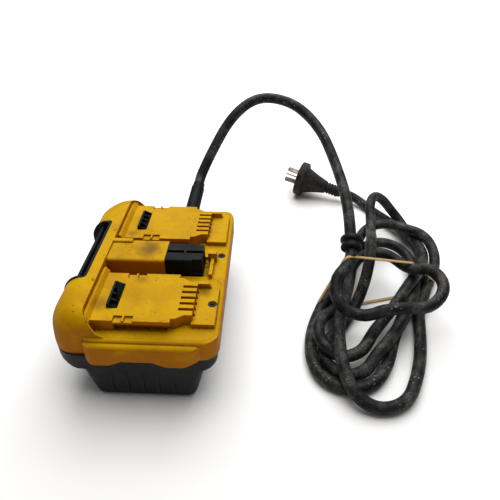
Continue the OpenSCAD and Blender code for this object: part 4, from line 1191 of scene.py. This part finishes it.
@dataclass
class SoftHood:
    """Pillow-shaped hood over the release paddle, with the black grip frame in its finger recess."""

    wardrobe: Wardrobe
    front_mm: float = -72.0
    rim_mm: float = -41.5
    half_w_mm: float = 94.0
    low_mm: float = 50.0
    top_mm: float = 88.0
    front_r_mm: float = 20.0
    rim_r_mm: float = 16.0
    corner_mm: float = 20.0
    corner_swell_mm: float = 9.0
    swell_from_mm: float = 58.0
    swell_over_mm: float = 26.0
    heights: int = 18
    recess_half_mm: float = 44.0
    recess_rear_mm: float = -50.5
    recess_floor_mm: float = 58.5
    recess_corner_mm: float = 4.0
    frame_mm: float = 2.8
    frame_proud_mm: float = 0.7
    frame_gap_mm: float = 0.2
    wall_mm: float = 3.0
    slot_half_mm: float = 41.0
    slot_front_mm: float = -62.5
    hollow_front_mm: float = -64.0
    hollow_half_mm: float = 80.0
    hollow_low_mm: float = 40.0
    lobe_front_mm: float = -58.0
    lobe_end_mm: float = 78.0
    lobe_z_mm: Flat = (45.0, 76.0)
    hood_edge_mm: float = 1.2
    frame_edge_mm: float = 0.8
    past_mm: float = 8.0

    def outlines(self, grow: float) -> list[Outline]:
        """Plan outlines from the parting line to the flat top.

        Args:
            grow: How far the form is swelled, in millimetres.

        Returns:
            The outlines from the lowest up.
        """
        shoulder, steps = self.top_mm - self.front_r_mm, self.heights
        levels = [self.low_mm, self.low_mm + 6, self.low_mm + 12]
        levels += [shoulder + self.front_r_mm * math.sin(math.pi / 2 * k / steps) for k in range(steps + 1)]
        rows = []
        for z in levels:
            front = self.front_mm + self._set_back(z, self.front_r_mm)
            half = self.half_w_mm - self._set_back(z, self.rim_r_mm)
            rise = (z - self.swell_from_mm) / self.swell_over_mm
            corner = self.corner_mm + self.corner_swell_mm * min(max(rise, 0.0), 1.0)
            corners = (min(corner, self.rim_mm - front - 0.3), corner), (0.1, 0.1)
            rows.append(Outline(z + grow, front - grow, self.rim_mm, half, *corners))
        return rows

    def _set_back(self, z: float, radius: float) -> float:
        """How far a rounded upper edge stands back at a height."""
        up = min(max(z - (self.top_mm - radius), 0.0), radius)
        return radius - math.sqrt(radius**2 - up**2)

    def build(self) -> None:
        """Build the hood and its grip frame."""
        self._hood()
        self._grip_frame()

    def _hood(self) -> None:
        """Hood with its finger recess, the paddle's slot and the hollows behind its wall."""
        y, rear, floor = self.recess_half_mm, self.recess_rear_mm, self.recess_floor_mm
        slot, half, low = self.slot_half_mm, self.hollow_half_mm, self.hollow_low_mm
        past = self.front_mm - self.past_mm
        hood = loft("hood_moulding", self.outlines(0.0))
        hollows = [
            block((past, -y, floor), (rear, y, self.top_mm + self.past_mm), self.recess_corner_mm),
            block((self.slot_front_mm, -slot, low), (rear - 3, slot, floor + 1)),
            block((self.hollow_front_mm, -half, low), (self.rim_mm + 2, half, floor - 2)),
        ]
        (foot, head), inner, end = self.lobe_z_mm, y + self.wall_mm, self.lobe_end_mm
        for y0, y1 in ((-end, -inner), (inner, end)):
            hollows.append(block((self.lobe_front_mm, y0, foot), (self.rim_mm - 3, y1, head)))
        carve(hood, hollows)
        soften(hood, self.hood_edge_mm)
        self.wardrobe.seat(hood, Finishes.YELLOW_ABS, "front_hood")

    def _grip_frame(self) -> None:
        """Black frame that lines the recess, cut from a slightly larger hood."""
        gap, y = self.frame_gap_mm, self.recess_half_mm - self.frame_gap_mm
        inner, rear, floor = self.recess_half_mm - self.frame_mm, self.recess_rear_mm, self.recess_floor_mm
        out = self.front_mm - self.past_mm
        grip = loft("grip_frame", self.outlines(self.frame_proud_mm))
        corner = self.recess_corner_mm - gap
        lining = block((out, -y, floor), (rear - gap, y, self.top_mm - 0.5), corner)
        high = self.top_mm + self.past_mm
        opening = block((out - 4, -inner, floor - 4), (rear - self.frame_mm, inner, high), 2.0)
        carve(grip, [lining], Cut.WITHIN)
        carve(grip, [opening])
        soften(grip, self.frame_edge_mm)
        self.wardrobe.seat(grip, Finishes.BLACK_NYLON, "grip_bezel")


@dataclass
class TubMoulding:
    """Dark lower moulding: tapered tub with upright ribs, and the shelf under the deck."""

    wardrobe: Wardrobe
    half_w_mm: float = 96.0
    top_mm: float = 50.0
    shelf_mm: float = 34.0
    shelf_r_mm: float = 7.0
    shelf_x_mm: Flat = (-71.4, 63.5)
    shelf_corners_mm: Flat = (22.0, 13.0)
    tub_x_mm: Flat = (-49.5, 53.0)
    foot_x_mm: Flat = (-41.5, 44.0)
    levels_mm: Flat = (12.0, 22.0)
    draft_mm: float = 1.2
    foot_r_mm: float = 4.0
    round_steps: int = 4
    corner_mm: float = 8.0
    wall_mm: float = 3.0
    rib_xs_mm: tuple[float, ...] = (-26.0, -13.0, 0.0, 13.0, 26.0)
    rib_half_mm: float = 1.5
    rib_out_mm: float = 0.2
    rib_z_mm: Flat = (6.0, 38.0)
    screw_xs_mm: Flat = (-26.0, 35.0)
    screw_y_mm: float = 78.0
    screw_r_mm: float = 3.8
    well_z_mm: Flat = (-2.0, 8.0)
    edge_mm: float = 0.6

    def outlines(self) -> list[Outline]:
        """Outlines of the outer face.

        Returns:
            The outlines up the tub and out along the shelf.
        """
        rows = [self._tub(*self._rounded(self.foot_r_mm, k)) for k in range(self.round_steps + 1)]
        rows += [self._tub(z, 0.0) for z in (*self.levels_mm, self.shelf_mm - 0.5)]
        for k in range(self.round_steps + 1):
            rise, inset = self._rounded(self.shelf_r_mm, k)
            rows.append(self._shelf(self.shelf_mm + rise, inset))
        return [*rows, self._shelf(self.top_mm, 0.0)]

    def _rounded(self, radius: float, step: int) -> Flat:
        """Rise and inset of one step up a rounded lower edge."""
        turn = math.pi / 2 * step / self.round_steps
        return radius * (1 - math.cos(turn)), radius * (1 - math.sin(turn))

    def _tub(self, z: float, inset: float) -> Outline:
        """The tub's outline at a height.

        Args:
            z: The height in millimetres.
            inset: How far the outline is drawn in.

        Returns:
            The outline there.
        """
        t = z / self.shelf_mm
        front, rear = (a + t * (b - a) for a, b in zip(self.foot_x_mm, self.tub_x_mm))
        half = self.half_w_mm - self.draft_mm * (1 - t)
        corner = (self.corner_mm, self.corner_mm)
        return Outline(z, front + inset, rear - inset, half - inset, corner, corner)

    def _shelf(self, z: float, inset: float) -> Outline:
        """The shelf's outline at a height, drawn in at its two ends."""
        (front, rear), (fore, aft) = self.shelf_x_mm, self.shelf_corners_mm
        return Outline(z, front + inset, rear - inset, self.half_w_mm, (fore - inset, fore), (aft, aft))

    def build(self) -> None:
        """Build the moulding as an open shell with its ribs and screw wells."""
        tub = loft("tub_moulding", self.outlines(), steps=8, open_top=True)
        shell = tub.modifiers.new("shell", "SOLIDIFY")
        shell.thickness = self.wall_mm * MM
        shell.offset = -1.0
        carve(tub, [self._well(x, side) for x in self.screw_xs_mm for side in (-1, 1)])
        for x in self.rib_xs_mm:
            for side in (-1, 1):
                self._add_rib(tub, x, side)
        soften(tub, self.edge_mm)
        self.wardrobe.seat(tub, Finishes.CHARCOAL_ABS, "bottom_housing")

    def _well(self, x: float, side: int) -> Piece:
        """Cutter for the well of one housing screw.

        Args:
            x: Place of the screw along the tub.
            side: -1 for the near side, 1 for the far side.

        Returns:
            A round cutter.
        """
        r = self.screw_r_mm
        well = loft("well", [Outline(z, x - r, x + r, r, (r, r), (r, r)) for z in self.well_z_mm])
        well.data.transform(Matrix.Translation((0, side * self.screw_y_mm * MM, 0)))
        return well

    def _add_rib(self, tub: Piece, x: float, side: int) -> None:
        """Join one upright rib to the tub.

        Args:
            tub: The shell.
            x: Place of the rib along the tub.
            side: -1 for the near side, 1 for the far side.
        """
        ys = sorted((side * (self.half_w_mm - self.wall_mm), side * (self.half_w_mm + self.rib_out_mm)))
        low, high = self.rib_z_mm
        rib = block((x - self.rib_half_mm, ys[0], low), (x + self.rib_half_mm, ys[1], high))
        both = bmesh.new()
        both.from_mesh(tub.data)
        both.from_mesh(rib.data)
        both.to_mesh(tub.data)
        both.free()
        bpy.data.objects.remove(rib)


@dataclass
class SubAssembly:
    """CAD nodes that belong together, under the width of their softened edges in millimetres."""

    wardrobe: Wardrobe
    nodes: EdgeSets = ()

    def build(self) -> None:
        """Soften each node and dress it by the record's material slot."""
        slots = {part["node"]: part["material_slot"] for part in frame["record"]["subparts"]}
        for edge_mm, names in self.nodes:
            for name in names:
                soften(frame["nodes"][name], edge_mm)
                self.wardrobe.dress(frame["nodes"][name], Finishes.for_slot(slots[name]))


@dataclass
class LeadGear(SubAssembly):
    """Mains lead with its boot, clamp, collar, band and plug."""

    nodes: EdgeSets = (
        (0.5, ("cord_sheath_end", "cord_clamp", "clamp_screws", "strain_relief_boot", "cord_collar")),
        (0.25, ("plug_blades", "plug_earth_blade")),
    )
    on_lead: tuple[str, ...] = ("strain_relief_boot", "cord_collar", "plug_blades", "plug_earth_blade")

    def build(self) -> None:
        """Build the lead, band and plug, and dress the fittings."""
        lead = MainsLead(self.wardrobe)
        curve = lead.build()
        band = HankBand(self.wardrobe, lead.line, lead.route.diameter_mm).build()
        plug = PlugBody(self.wardrobe, lead.route.plug_neck, lead.route.plug_dir).build()
        super().build()


@dataclass
class Housing(SubAssembly):
    """Yellow top with its hood and grip frame, dark tub, and the screws that hold them."""

    nodes: EdgeSets = (
        (0.9, ("top_housing",)),
        (0.7, ("centre_bar",)),
        (0.5, ("chassis_plate", "housing_screws", "deck_screws")),
        (0.4, ("near_base_plate", "far_base_plate")),
    )

    def build(self) -> None:
        """Build the hood and tub, and dress the other mouldings."""
        SoftHood(self.wardrobe).build()
        TubMoulding(self.wardrobe).build()
        super().build()


@dataclass
class BatteryHeads(SubAssembly):
    """The two slide platforms and the contacts in their combs."""

    nodes: EdgeSets = (
        (0.45, ("near_battery_head", "far_battery_head")),
        (0.15, ("near_terminal_contacts", "far_terminal_contacts")),
    )


@dataclass
class ReleaseGear(SubAssembly):
    """Paddle on its pin, and the latches and springs that it works."""

    nodes: EdgeSets = (
        (0.5, ("release_paddle", "paddle_pivot_pin", "near_latch", "far_latch")),
        (0.0, ("near_return_spring", "far_return_spring")),
    )


@dataclass
class PowerGear(SubAssembly):
    """Power connector, circuit board with its parts, and the wires between them."""

    nodes: EdgeSets = (
        (0.5, ("power_connector", "connector_contacts", "circuit_board", "board_screws", "bulk_capacitors")),
        (0.5, ("filter_choke", "bridge_rectifier", "heat_sink", "power_relay", "line_fuse")),
        (0.5, ("film_capacitor", "terminal_block")),
        (0.0, ("output_leads", "supply_cores")),
    )


def main() -> None:
    """Build the studio, then each sub-assembly in order."""
    logging.basicConfig(level=logging.INFO)
    StudioCamera().build()
    Studio().build()
    wardrobe = Wardrobe()
    for kind in (LeadGear, Housing, BatteryHeads, ReleaseGear, PowerGear):
        kind(wardrobe).build()


if __name__ == "__main__":
    main()
